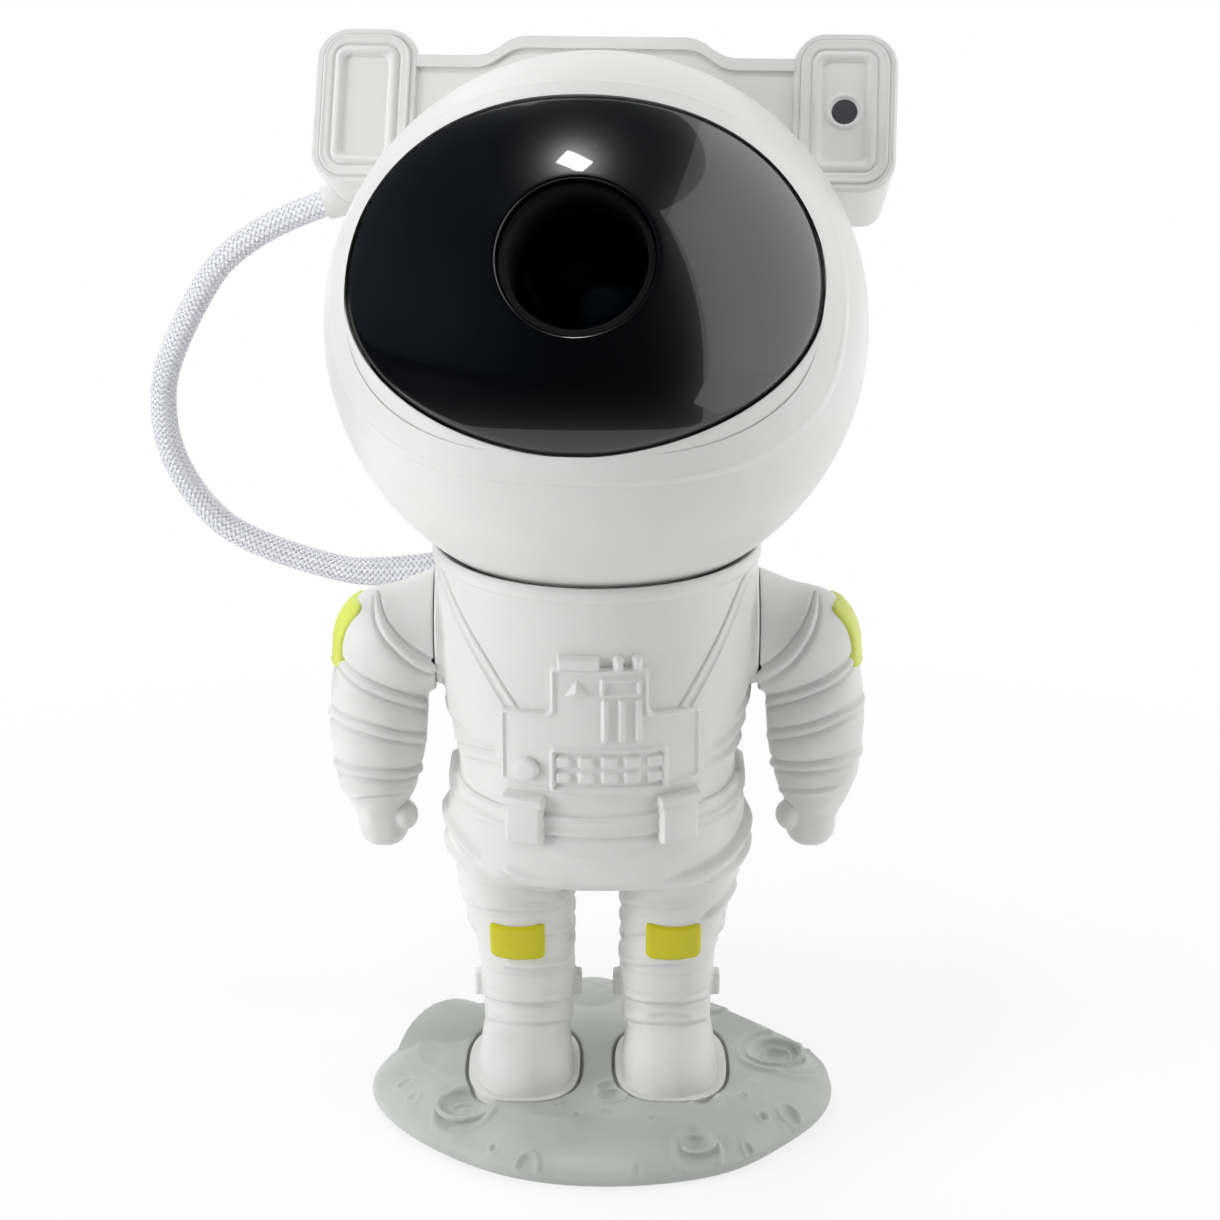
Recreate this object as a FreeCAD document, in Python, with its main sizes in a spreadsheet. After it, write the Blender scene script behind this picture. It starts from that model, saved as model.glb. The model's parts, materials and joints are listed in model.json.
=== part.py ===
import FreeCAD, Part

# Star and nebula projector shaped like an astronaut on a moon base.
# Millimetres, +Z up. The figure faces -Y, and the origin is in the middle of the underside of the base.
import math
import os
import re
from types import SimpleNamespace

import Sketcher

SIZES = {
    # helmet and its pose: tilted up, and turned a little to its own right
    "head_radius": 52.5,
    "helmet_wall": 2.3,
    "head_tilt": 28.0,
    "head_turn": 5.0,
    "helmet_seam": -14.0,
    "ball_gap": 0.3,
    # visor, its outline seen from the front, and the bezel round it
    "visor_half_width": 44.0,
    "visor_half_height": 33.0,
    "visor_drop": 1.5,
    "visor_power": 2.3,
    "visor_wall": 1.5,
    "visor_rise": 0.25,
    "visor_gap": 0.35,
    "visor_ledge": 2.0,
    "bezel_width": 3.8,
    "bezel_rise": 0.6,
    "lens_hole_radius": 14.3,
    "lens_offset_x": 0.5,
    "lens_offset_y": -1.0,
    # ear boxes and the band between them
    "ear_span": 93.2,
    "ear_height": 42.0,
    "ear_front": 6.0,
    "ear_width": 20.2,
    "ear_tall": 31.8,
    "ear_corner": 6.5,
    "ear_depth": 36.0,
    "ear_taper": 4.5,
    "ear_wall": 1.8,
    "panel_inset": 1.4,
    "panel_thick": 1.4,
    "panel_play": 0.1,
    "panel_rise": 0.8,
    "window_radius": 2.85,
    "laser_radius": 3.5,
    "laser_length": 18.0,
    "band_top": 56.5,
    "band_shelf": 52.4,
    "band_half_flat": 15.0,
    "band_half_slope": 26.0,
    "band_depth": 22.0,
    "band_rim": 2.4,
    # projector inside the helmet, placed along the optical axis from the centre of the head
    "tube_wall": 1.2,
    "tube_gap": 0.3,
    "tube_flange": 3.0,
    "frame_front": 24.0,
    "frame_thick": 2.0,
    "lens_thick": 6.4,
    "lens_play": 0.08,
    "disc_radius": 21.0,
    "disc_thick": 1.4,
    "disc_front": 18.4,
    "disc_offset": 13.5,
    "motor_radius": 5.0,
    "shaft_radius": 1.0,
    "shaft_play": 0.04,
    "bridge_back": -3.0,
    "board_thick": 1.6,
    "condenser_radius": 6.5,
    "sink_side": 26.0,
    "sink_depth": 12.0,
    "keeper_angle": 33.0,
    "keeper_wall": 1.4,
    # collar, ball seat and magnet
    "collar_rise": 16.0,
    "seat_radius": 30.5,
    "collar_radius": 32.2,
    "cup_wall": 2.4,
    "cup_play": 0.1,
    "magnet_radius": 8.0,
    "magnet_thick": 5.0,
    "magnet_play": 0.3,
    "ring_width": 3.0,
    "ring_thick": 1.0,
    # torso
    "chest_height": 108.0,
    "chest_half_width": 31.6,
    "chest_half_depth": 30.0,
    "waist_height": 79.0,
    "waist_half_width": 27.6,
    "waist_half_depth": 26.0,
    "hip_height": 68.0,
    "hip_half_width": 30.6,
    "hip_half_depth": 27.0,
    "crotch_height": 56.5,
    "suit_wall": 2.4,
    "suit_seam": 4.0,
    "relief": 0.9,
    "panel_half_width": 20.5,
    "panel_top": 108.0,
    "panel_step": 97.0,
    "panel_bottom": 82.0,
    "strap_width": 1.8,
    "belt_height": 74.4,
    "belt_width": 2.8,
    "pouch_width": 8.6,
    "pouch_tall": 10.6,
    # legs and boots
    "leg_half_gap": 4.6,
    "thigh_half_width": 12.6,
    "knee_height": 43.0,
    "shin_half_width": 9.7,
    "shin_half_depth": 11.4,
    "ankle_height": 27.0,
    "fold_pitch": 3.6,
    "fold_rise": 0.55,
    "boot_half_width": 10.8,
    "boot_half_length": 16.6,
    "boot_toe_height": 17.0,
    "boot_centre": 15.3,
    "sole_bottom": 7.6,
    "sole_thick": 1.8,
    "sole_lip": 0.8,
    "knee_patch_width": 11.5,
    "knee_patch_tall": 8.7,
    "patch_thick": 0.7,
    # arms
    "shoulder_face": 32.1,
    "shoulder_height": 108.0,
    "shoulder_radius": 10.0,
    "shoulder_drop": 4.0,
    "shoulder_tall": 23.6,
    "badge_width": 13.0,
    "badge_tall": 12.0,
    "badge_corner": 3.0,
    "elbow_height": 82.0,
    "elbow_radius": 8.9,
    "wrist_height": 68.5,
    "wrist_radius": 5.5,
    "arm_centre": 44.2,
    "hand_bottom": 59.8,
    "hand_radius": 5.6,
    "pivot_radius": 3.0,
    "pivot_play": 0.05,
    "pivot_length": 9.0,
    "pivot_head": 5.0,
    # backpack and its controls
    "pack_half_width": 23.0,
    "pack_bottom": 80.0,
    "pack_top": 120.5,
    "pack_back": 50.0,
    "pack_wall": 2.0,
    "pack_corner": 6.0,
    "pack_play": 0.2,
    "lid_front": 33.4,
    "lid_thick": 1.6,
    "button_radius": 4.0,
    "button_play": 0.2,
    "button_pitch": 11.5,
    "button_rise": 1.4,
    "button_flange": 1.2,
    "button_travel": 1.0,
    "button_height": 104.0,
    "board_back": 40.0,
    "switch_side": 6.0,
    "inlet_width": 9.0,
    "inlet_height": 3.2,
    "inlet_depth": 7.4,
    # moon base
    "base_half_width": 48.8,
    "base_half_depth": 41.6,
    "base_centre_y": 3.4,
    "base_centre_x": 0.5,
    "base_top": 9.6,
    "base_rim": 0.6,
    "base_wall": 2.0,
    "pocket_gap": 0.7,
    "pad_radius": 4.0,
    "pad_thick": 1.4,
    "pad_spread_x": 25.0,
    "pad_spread_y": 19.0,
    "cover_thick": 1.6,
    "weight_thick": 2.0,
    # screws
    "screw_radius": 1.25,
    "screw_head_radius": 2.4,
    "screw_head_thick": 1.6,
    "screw_play": 0.05,
    # braided hose
    "hose_radius": 2.7,
    "gland_radius": 4.6,
    "gland_length": 5.0,
    "hose_play": 0.3,
}

doc = FreeCAD.newDocument("star_projector")
sheet = doc.addObject("Spreadsheet::Sheet", "Sizes")
for row, (alias, number) in enumerate(SIZES.items(), 1):
    sheet.set(f"A{row}", alias.replace("_", " "))
    sheet.set(f"B{row}", str(number))
    sheet.setAlias(f"B{row}", alias)
doc.recompute()

s = SimpleNamespace(**{alias: float(sheet.get(alias)) for alias in SIZES})
Vector = FreeCAD.Vector
Turn = FreeCAD.Rotation
Place = FreeCAD.Placement
X = Vector(1, 0, 0)
Y = Vector(0, 1, 0)
Z = Vector(0, 0, 1)
SIDES = {"left": -1, "right": 1}
subparts = []

# ---------------------------------------------------------------- places
collar_top = s.shoulder_height + s.collar_rise
head_centre_z = collar_top + math.sqrt((s.head_radius + s.ball_gap) ** 2 - s.seat_radius ** 2)
head_centre = Vector(0, 0, head_centre_z)
head_pose = Place(head_centre, Turn(Z, -s.head_turn) * Turn(X, -s.head_tilt))
# The face frame has x to the side, y up the face and z forward along the optical axis.
face_pose = head_pose * Place(Vector(), Turn(X, 90))
optic_pose = face_pose * Place(Vector(s.lens_offset_x, s.lens_offset_y, 0), Turn())
# The pack frame has x to the side, y up and z backward.
pack_pose = Place(Vector(), Turn(Vector(0, 1, 1), 180))
head_inner = s.head_radius - s.helmet_wall
visor_outer = s.head_radius + s.visor_rise
visor_inner = visor_outer - s.visor_wall
ear_centre = s.ear_span / 2
tube_radius = s.lens_hole_radius - s.tube_gap
lens_radius = tube_radius - s.tube_wall - s.lens_play


# ---------------------------------------------------------------- helpers
def bound(text):
    """The expression with each size's name turned into its cell."""
    return re.sub(r"[a-z][a-z_]+", lambda word: ("Sizes." if word.group() in SIZES else "") + word.group(), text)


def bind(thing, **expressions):
    for name, text in expressions.items():
        thing.setExpression(name.replace("__", "."), bound(text))
    return thing


def keep(thing, label):
    """Registers the object as a sub-part under its own label."""
    thing.Label = label
    subparts.append((label, thing))
    return thing


def solid(label, shape, pose=None):
    """A sub-part whose shape comes from Part's own functions."""
    thing = doc.addObject("Part::Feature", label)
    thing.Shape = shape
    thing.Placement = pose or Place()
    return keep(thing, label)


def primitive(kind, name, **expressions):
    return bind(doc.addObject("Part::" + kind, name), **expressions)


def combine(kind, name, base, tool):
    thing = doc.addObject("Part::" + kind, name)
    thing.Base = base
    thing.Tool = tool
    return thing


def new_body(name, pose=None):
    body = doc.addObject("PartDesign::Body", name)
    body.Placement = pose or Place()
    return body


def new_sketch(body, name, plane="XY_Plane"):
    sketch = body.newObject("Sketcher::SketchObject", name)
    origin = next(part for part in body.Origin.OriginFeatures if part.Role == plane)
    sketch.AttachmentSupport = (origin, "")
    sketch.MapMode = "FlatFace"
    return sketch


def fix_point(sketch, geometry, end, across, along):
    """Binds one point of a sketch to a pair of expressions."""
    for kind, text in (("DistanceX", across), ("DistanceY", along)):
        at = sketch.getPoint(geometry, end)
        start = at.x if kind == "DistanceX" else at.y
        number = sketch.addConstraint(Sketcher.Constraint(kind, -1, 1, geometry, end, start))
        sketch.setExpression(f"Constraints[{number}]", bound(text))


def draw_polygon(sketch, corners):
    """A closed outline whose corners are pairs of expressions."""
    first = sketch.GeometryCount
    count = len(corners)
    angles = [math.tau * i / count for i in range(count)]
    seeds = [Vector(9 * math.cos(angle), 9 * math.sin(angle), 0) for angle in angles]
    for i in range(count):
        sketch.addGeometry(Part.LineSegment(seeds[i], seeds[(i + 1) % count]), False)
    for i in range(count):
        sketch.addConstraint(Sketcher.Constraint("Coincident", first + i, 2, first + (i + 1) % count, 1))
    for i, (across, along) in enumerate(corners):
        fix_point(sketch, first + i, 1, across, along)


def draw_box(sketch, half_width, half_height, centre_x="0", centre_y="0"):
    left = f"{centre_x} - ({half_width})"
    right = f"{centre_x} + ({half_width})"
    low = f"{centre_y} - ({half_height})"
    high = f"{centre_y} + ({half_height})"
    draw_polygon(sketch, [(left, low), (right, low), (right, high), (left, high)])


def draw_circle(sketch, radius, across="0", along="0"):
    number = sketch.addGeometry(Part.Circle(Vector(1, 1, 0), Z, 3), False)
    size = sketch.addConstraint(Sketcher.Constraint("Radius", number, 3))
    sketch.setExpression(f"Constraints[{size}]", bound(radius))
    fix_point(sketch, number, 3, across, along)


def feature(body, kind, name, sketch, length=None, flip=False):
    """A pad or pocket of a sketch."""
    thing = body.newObject("PartDesign::" + kind, name)
    thing.Profile = sketch
    thing.Reversed = flip
    if length:
        bind(thing, Length=length)
    doc.recompute()
    return thing


def revolve(body, sketch, name):
    thing = body.newObject("PartDesign::Revolution", name)
    thing.Profile = sketch
    thing.ReferenceAxis = (sketch, ["V_Axis"])
    thing.Angle = 360
    doc.recompute()
    return thing


def edges_along(shape, direction, least=0.0):
    """Names of the straight edges that run along a direction."""
    names = []
    for number, edge in enumerate(shape.Edges, 1):
        if edge.Curve.TypeId != "Part::GeomLine" or edge.Length <= least:
            continue
        if abs(edge.tangentAt(edge.FirstParameter).dot(direction)) > 0.999:
            names.append(f"Edge{number}")
    return names


def round_edges(body, base, names, radius, name="Rounding"):
    fillet = body.newObject("PartDesign::Fillet", name)
    fillet.Base = (base, names)
    bind(fillet, Radius=radius)
    doc.recompute()
    return fillet


def superellipse(centre_x, centre_y, height, half_x, half_y, power=2.4, count=16):
    """A smooth closed outline between an ellipse and a rounded rectangle, level at a height."""
    points = []
    for i in range(count):
        angle = math.tau * i / count
        across = math.copysign(abs(math.cos(angle)) ** (2 / power), math.cos(angle))
        along = math.copysign(abs(math.sin(angle)) ** (2 / power), math.sin(angle))
        points.append(Vector(centre_x + half_x * across, centre_y + half_y * along, height))
    curve = Part.BSplineCurve()
    curve.interpolate(points, PeriodicFlag=True)
    return Part.Wire([curve.toShape()])


def loft(wires, creased=False):
    """A solid through level outlines with its ends closed: smooth, or creased at each level."""
    return Part.makeLoft(wires, True, creased, False, 3)


def prism(points, start, length, direction):
    """A straight-sided solid on a closed outline of points."""
    shift = direction * start
    wire = Part.makePolygon([point + shift for point in points + points[:1]])
    return Part.Face(wire).extrude(direction * length)


def plate(width, tall, radius, centre_x, centre_y, low, high):
    """A rounded rectangular plate between two heights."""
    box = Part.makeBox(width, tall, high - low, Vector(centre_x - width / 2, centre_y - tall / 2, low))
    return box.makeFillet(radius, [edge for edge in box.Edges if abs(edge.tangentAt(0).z) > 0.9])


def tube(radius, low, high, across=0.0, along=0.0):
    return Part.makeCylinder(radius, high - low, Vector(across, along, low))


def mirrored(shape):
    return shape.mirror(Vector(), X)


def screw(length):
    """A pan-head screw that points up from its head's underside at z = 0."""
    head = Part.makeCylinder(s.screw_head_radius, s.screw_head_thick, Vector(0, 0, -s.screw_head_thick))
    slot = Part.makeBox(0.5, 2 * s.screw_head_radius, 0.6,
                        Vector(-0.25, -s.screw_head_radius, -s.screw_head_thick))
    shank = Part.makeCylinder(s.screw_radius, length - s.screw_radius)
    tip = Part.makeCone(s.screw_radius, s.screw_radius / 3, s.screw_radius, Vector(0, 0, length - s.screw_radius))
    return head.cut(slot).fuse([shank, tip]).removeSplitter()


def ball(radius):
    return Part.makeSphere(radius, Vector(), Z)


# ---------------------------------------------------------------- moon base
# Corners of the slab's outline, as shares of its half width and half depth.
OUTLINE = [(1.0, -0.06), (0.94, -0.33), (0.78, -0.59), (0.57, -0.83), (0.29, -0.96), (-0.06, -0.99),
           (-0.39, -0.89), (-0.66, -0.67), (-0.89, -0.35), (-0.985, -0.04), (-0.92, 0.25), (-0.74, 0.54),
           (-0.41, 0.81), (0.0, 0.976), (0.39, 0.855), (0.64, 0.64), (0.88, 0.33)]
# Craters: place across and along as shares of the half sizes, and radius.
CRATERS = [(0.76, 0.01, 5.4), (-0.57, -0.5, 5.2), (0.05, -0.45, 2.8), (0.45, -0.5, 3.0), (0.4, -0.8, 3.2)]
CRATER_RIM = 0.7
# Hills: place across and along, radius of the ball and height of its top over the slab.
HILLS = [(-0.68, 0.38, 20.0, 3.0), (-0.04, 0.72, 16.0, 1.8)]

base_floor = s.sole_bottom - s.base_wall
base_cavity_inset = 2.5 * s.base_wall
screw_hole = s.screw_radius + s.screw_play


def base_outline(height, inset, shift=0.0):
    points = []
    for across, along in OUTLINE:
        x = s.base_centre_x + across * (s.base_half_width - inset)
        y = s.base_centre_y + shift + along * (s.base_half_depth - inset)
        points.append(Vector(x, y, height))
    curve = Part.BSplineCurve()
    curve.interpolate(points, PeriodicFlag=True)
    return Part.Wire([curve.toShape()])


def base_slice(low, high, inset):
    return Part.Face(base_outline(low, inset)).extrude(Z * (high - low))


def sole_outline(side, height, grow=0.0):
    return superellipse(side * s.boot_centre, 0, height, s.boot_half_width + grow, s.boot_half_length + grow, 2.8)


def base_place(across, along):
    return s.base_centre_x + across * s.base_half_width, s.base_centre_y + along * s.base_half_depth


boot_screws = [(side * s.boot_centre, along * s.boot_half_length / 2) for side in (-1, 1) for along in (-1, 1)]
cover_screws = [base_place(across, along)
                for across, along in ((-0.72, -0.1), (0.72, 0.1), (0.1, -0.72), (0, 0.75))]
pad_places = [(s.base_centre_x + i * s.pad_spread_x, s.base_centre_y + j * s.pad_spread_y)
              for i in (-1, 1) for j in (-1, 1)]


def make_moon_base():
    """The slab: a pebble-like loft with hills and craters, boot pockets and a hollow underside."""
    top_inset = s.base_top
    slab = loft([base_outline(s.base_rim, 1.0), base_outline(s.base_top * 0.32, 0.0),
                 base_outline(s.base_top * 0.68, top_inset * 0.34, 0.8), base_outline(s.base_top, top_inset, 2.6)])
    inside = base_slice(0, 3 * s.base_top, s.base_wall * 1.6)
    for across, along, radius, height in HILLS:
        x, y = base_place(across, along)
        hill = Part.makeSphere(radius, Vector(x, y, s.base_top + height - radius)).common(inside)
        slab = slab.fuse(hill.common(Part.makeBox(200, 200, 60, Vector(-100, -100, s.base_rim + 2))))
    for across, along, radius in CRATERS:
        x, y = base_place(across, along)
        upright = Part.makeLine(Vector(x, y, s.base_rim + 1), Vector(x, y, 3 * s.base_top))
        surface = slab.common(upright).BoundBox.ZMax
        slab = slab.fuse(Part.makeTorus(radius, CRATER_RIM, Vector(x, y, surface - CRATER_RIM / 3)))
        ball_radius = 1.7 * radius
        rise = math.sqrt(ball_radius ** 2 - (radius - CRATER_RIM / 2) ** 2)
        slab = slab.cut(Part.makeSphere(ball_radius, Vector(x, y, surface + rise)))
    for side in SIDES.values():
        pocket = Part.Face(sole_outline(side, s.sole_bottom, s.sole_lip + s.pocket_gap)).extrude(Z * 20)
        slab = slab.cut(pocket)
    cavity = base_slice(0, base_floor, base_cavity_inset)
    bosses = [tube(2.2 * s.screw_radius, s.pad_thick + s.cover_thick, base_floor, *place)
              for place in cover_screws]
    slab = slab.cut(cavity.cut(bosses[0].fuse(bosses[1:])))
    for place in boot_screws:
        slab = slab.cut(tube(screw_hole, 0, s.base_top, *place))
    for place in cover_screws:
        slab = slab.cut(tube(screw_hole, 0, base_floor + 1, *place))
    return slab


def make_base_cover():
    top = s.pad_thick + s.cover_thick
    cover = base_slice(s.pad_thick, top, base_cavity_inset + s.pocket_gap / 2)
    for place in cover_screws:
        cover = cover.cut(tube(screw_hole, 0, top, *place))
        cover = cover.cut(tube(s.screw_head_radius + s.pocket_gap / 2, 0, top - s.cover_thick / 2, *place))
    return cover


def make_base_weight():
    """Steel ballast plate that lies on the cover, with round clearances for the boot screws and bosses."""
    low = s.pad_thick + s.cover_thick
    half_x = 0.5 * s.base_half_width
    half_y = 0.45 * s.base_half_depth
    weight = plate(2 * half_x, 2 * half_y, 6, s.base_centre_x, s.base_centre_y, low, low + s.weight_thick)
    for place in boot_screws:
        weight = weight.cut(tube(s.screw_head_radius + 1, 0, s.base_top, *place))
    return weight


def make_base_screws():
    length = s.sole_bottom - base_floor + s.sole_thick + 6
    boots = [screw(length).translated(Vector(x, y, base_floor)) for x, y in boot_screws]
    seat = s.pad_thick + s.cover_thick / 2
    covers = [screw(base_floor - seat + 0.8).translated(Vector(x, y, seat)) for x, y in cover_screws]
    return Part.makeCompound(boots + covers)


solid("moon_base", make_moon_base())
solid("base_cover", make_base_cover())
solid("base_weight", make_base_weight())
solid("base_screws", make_base_screws())
pads = [primitive("Cylinder", "pad_centre", Radius="1.5 * pad_radius", Height="pad_thick")]
for number, (x, y) in enumerate(pad_places, 1):
    pad = primitive("Cylinder", f"pad_{number}", Radius="pad_radius", Height="pad_thick")
    across = "+" if x > s.base_centre_x else "-"
    along = "+" if y > s.base_centre_y else "-"
    bind(pad, Placement__Base__x=f"base_centre_x {across} pad_spread_x")
    bind(pad, Placement__Base__y=f"base_centre_y {along} pad_spread_y")
    pads.append(pad)
all_pads = doc.addObject("Part::Compound", "all_pads")
all_pads.Links = pads
keep(all_pads, "base_pads")


# ---------------------------------------------------------------- torso, legs and boots
leg_y = 1.6
cuff_tall = 4.6
sole_top = s.sole_bottom + s.sole_thick
cup_floor = head_centre_z - s.head_radius - s.ball_gap
cup_ledge = cup_floor + 0.6 * (collar_top - cup_floor)


def mix(first, second, share):
    return first + (second - first) * share


def torso_shape(grow=0.0):
    """Collar, chest, waist, hips and seat in one smooth loft."""
    ribs = mix(s.waist_height, s.chest_height, 0.55)
    seat = mix(s.crotch_height, s.hip_height, 0.4)
    levels = [
        (collar_top, s.collar_radius, s.collar_radius, 2.0),
        (mix(s.chest_height, collar_top, 0.6), s.collar_radius - 0.3, s.collar_radius - 0.7, 2.0),
        (s.chest_height, s.chest_half_width, s.chest_half_depth, 2.1),
        (ribs, s.chest_half_width - 0.6, s.chest_half_depth - 0.9, 2.2),
        (mix(s.waist_height, ribs, 0.45), mix(s.waist_half_width, s.chest_half_width, 0.55),
         mix(s.waist_half_depth, s.chest_half_depth, 0.45), 2.2),
        (s.waist_height, s.waist_half_width, s.waist_half_depth, 2.2),
        (s.hip_height, s.hip_half_width, s.hip_half_depth, 2.2),
        (seat, s.hip_half_width + 0.3, s.hip_half_depth + 0.3, 2.3),
        (s.crotch_height, s.hip_half_width - 0.4, s.hip_half_depth - 0.4, 2.3),
    ]
    return loft([superellipse(0, 0, level, wide + grow, deep + grow, power)
                 for level, wide, deep, power in reversed(levels)])


def leg_shape(side, grow=0.0, folds=True):
    """Thigh and shin, with the rings of folded cloth round the knee."""
    top = s.crotch_height + 4
    low = s.ankle_height - 3
    count = round((top - low) / (s.fold_pitch / 2))
    wires = []
    for i in range(count + 1):
        height = mix(low, top, i / count)
        share = min(1, max(0, (height - s.ankle_height - 6) / (s.crotch_height - s.ankle_height - 6)))
        swell = share * share * (3 - 2 * share)
        ring = s.fold_rise * (i % 2) * folds * (height > s.ankle_height + cuff_tall)
        half_width = mix(s.shin_half_width, s.thigh_half_width, swell)
        half_depth = mix(s.shin_half_depth, s.shin_half_depth + 2.6, swell)
        centre = s.leg_half_gap + half_width
        more = grow + ring
        wires.append(superellipse(side * centre, leg_y, height, half_width + more, half_depth + more, 2.3))
    return loft(wires, folds)


def boot_shape(side):
    """Boot upper from the sole's outline to the cuff round the ankle."""
    ankle_centre = s.leg_half_gap + s.shin_half_width
    toe = s.boot_toe_height
    levels = [
        (sole_top, s.boot_centre, 0.0, s.boot_half_width, s.boot_half_length),
        (mix(sole_top, toe, 0.5), s.boot_centre, 0.1, s.boot_half_width, s.boot_half_length - 0.2),
        (toe, s.boot_centre - 0.2, 0.6, s.boot_half_width - 0.2, s.boot_half_length - 1.3),
        (mix(toe, s.ankle_height, 0.5), mix(s.boot_centre, ankle_centre, 0.7), leg_y + 0.4,
         s.shin_half_width + 0.5, s.shin_half_depth + 1.7),
        (s.ankle_height, ankle_centre, leg_y, s.shin_half_width + 0.5, s.shin_half_depth + 0.5),
        (s.ankle_height + cuff_tall, ankle_centre, leg_y, s.shin_half_width + 0.7, s.shin_half_depth + 0.7),
    ]
    return loft([superellipse(side * centre, along, level, half_width, half_length, 2.7)
                 for level, centre, along, half_width, half_length in levels])


def raised(points, grow):
    """The part of a slightly larger torso that lies behind an outline drawn on the chest."""
    outline = [Vector(x, 0, z) for x, z in points]
    return prism(outline, 0, 2 * s.chest_half_depth, -Y).common(torso_shape(grow))


def rectangle(left, low, right, high):
    return [(left, low), (right, low), (right, high), (left, high)]


def chest_relief():
    """Life-support panel with its keypad, meters and knobs, then harness, belt and pouches."""
    half = s.panel_half_width
    inner = half / 2
    stepped = [(-half, s.panel_bottom), (half, s.panel_bottom), (half, s.panel_step), (inner, s.panel_step),
               (inner, s.panel_top), (-inner, s.panel_top), (-inner, s.panel_step), (-half, s.panel_step)]
    step = (s.panel_step - s.panel_bottom) / 15
    pieces = [raised(stepped, s.relief)]
    clip = rectangle(-0.85 * inner, s.panel_top - 1, -0.1 * inner, s.panel_top + 2.7 * step)
    pieces.append(raised(clip, s.relief))
    for left in (0.24, 0.62):
        knob = rectangle(left * inner, s.panel_top - 1, (left + 0.22) * inner, s.panel_top + 2.7 * step)
        pieces.append(raised(knob, s.relief))
    keypad = rectangle(-0.47 * half, s.panel_bottom + 0.4, 0.65 * half, s.panel_bottom + 9 * step)
    pieces.append(raised(keypad, 1.8 * s.relief))
    meter = rectangle(0, s.panel_step + 5.4 * step, 0.38 * half, s.panel_top - 1.8)
    pieces.append(raised(meter, 1.6 * s.relief))
    for share in (0.04, 0.2, 0.36):
        rib = rectangle(share * half - 0.5, s.panel_step - 4.8 * step,
                        share * half + 0.5, s.panel_step + 4 * step)
        pieces.append(raised(rib, 1.6 * s.relief))
    knob_centre = Vector(-0.74 * half, 0, s.panel_bottom + 4.4 * step)
    knob = Part.makeCylinder(2.2, 2 * s.chest_half_depth, knob_centre, -Y)
    pieces.append(knob.common(torso_shape(2.2 * s.relief)))
    for side in SIDES.values():
        high = (side * 0.86 * s.chest_half_width, collar_top - 1)
        low = (side * 0.78 * half, s.panel_step + 1.5 * step)
        strap = [(high[0] - s.strap_width, high[1]), (high[0] + s.strap_width, high[1]),
                 (low[0] + s.strap_width / 2, low[1]), (low[0] - s.strap_width / 2, low[1])]
        pieces.append(raised(strap, 0.5 * s.relief))
        pouch_x = side * 0.5 * s.hip_half_width
        pouch = rectangle(pouch_x - s.pouch_width / 2, s.belt_height - s.pouch_tall / 2 + 0.6,
                          pouch_x + s.pouch_width / 2, s.belt_height + s.pouch_tall / 2 + 0.6)
        pieces.append(raised(pouch, 2.4 * s.relief))
        block = Part.makeBox(2.6, 8, 10.5, Vector(-1.3, -4, -5.25))
        pieces.append(block.translated(Vector(side * (s.hip_half_width - 1.0), 0, s.belt_height - 2)))
    belt = Part.makeBox(100, 100, s.belt_width, Vector(-50, -50, s.belt_height - s.belt_width / 2))
    pieces.append(belt.common(torso_shape(0.7 * s.relief)))
    return pieces


# Screws that join the half shells: two in the chest and one in each thigh, all driven from behind.
suit_screws = [(side * across, height) for side in (-1, 1)
               for across, height in ((0.5 * s.chest_half_width, mix(s.waist_height, s.chest_height, 0.7)),
                                      (s.leg_half_gap + s.thigh_half_width - 1, s.knee_height + 5))]
suit_screw_seat = s.suit_seam + 6


def along_y(radius, start, end, across, height):
    return Part.makeCylinder(radius, end - start, Vector(across, start, height), Y)


def make_suit():
    """The whole hollow suit, before it is split into its half shells."""
    torso = torso_shape()
    legs = [leg_shape(side) for side in SIDES.values()]
    boots = [boot_shape(side) for side in SIDES.values()]
    straps = []
    for side in SIDES.values():
        for edge in (-1, 1):
            across = side * (s.leg_half_gap + s.shin_half_width) + edge * (s.shin_half_width + 0.3)
            straps.append(Part.makeBox(2.2, 6, 4.8, Vector(across - 1.1, leg_y - 3, s.ankle_height + 1.2)))
    suit = torso.fuse(legs + boots + straps + chest_relief())
    room = Part.makeBox(100, 100, cup_ledge - s.crotch_height - s.suit_wall,
                        Vector(-50, -50, s.crotch_height + s.suit_wall))
    cavity = torso_shape(-s.suit_wall).common(room)
    for side in SIDES.values():
        low = superellipse(side * (s.leg_half_gap + s.shin_half_width), leg_y, s.boot_toe_height + 4,
                           s.shin_half_width - s.suit_wall, s.shin_half_depth - s.suit_wall, 2.2)
        high = superellipse(side * (s.leg_half_gap + s.thigh_half_width), leg_y,
                            s.crotch_height + 2 * s.suit_wall,
                            s.thigh_half_width - 1.2 * s.suit_wall, s.shin_half_depth, 2.2)
        cavity = cavity.fuse(loft([low, high]))
    columns = [along_y(1.8 * s.screw_head_radius, -60, 60, *place) for place in suit_screws]
    suit = suit.cut(cavity.cut(columns[0].fuse(columns[1:])))
    suit = suit.cut(tube(s.seat_radius, cup_ledge, 2 * collar_top))
    holes = []
    for place in suit_screws:
        holes.append(along_y(screw_hole, suit_screw_seat - 12.6, 60, *place))
        holes.append(along_y(s.screw_head_radius + 0.3, suit_screw_seat, 60, *place))
    for x, y in boot_screws:
        holes.append(tube(screw_hole, 0, sole_top + 6.6, x, y))
    pivot = Part.makeCylinder(s.pivot_radius + s.pivot_play, 100, Vector(-50, 0, s.shoulder_height), X)
    return suit.cut(holes[0].fuse(holes[1:] + [pivot]))


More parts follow.
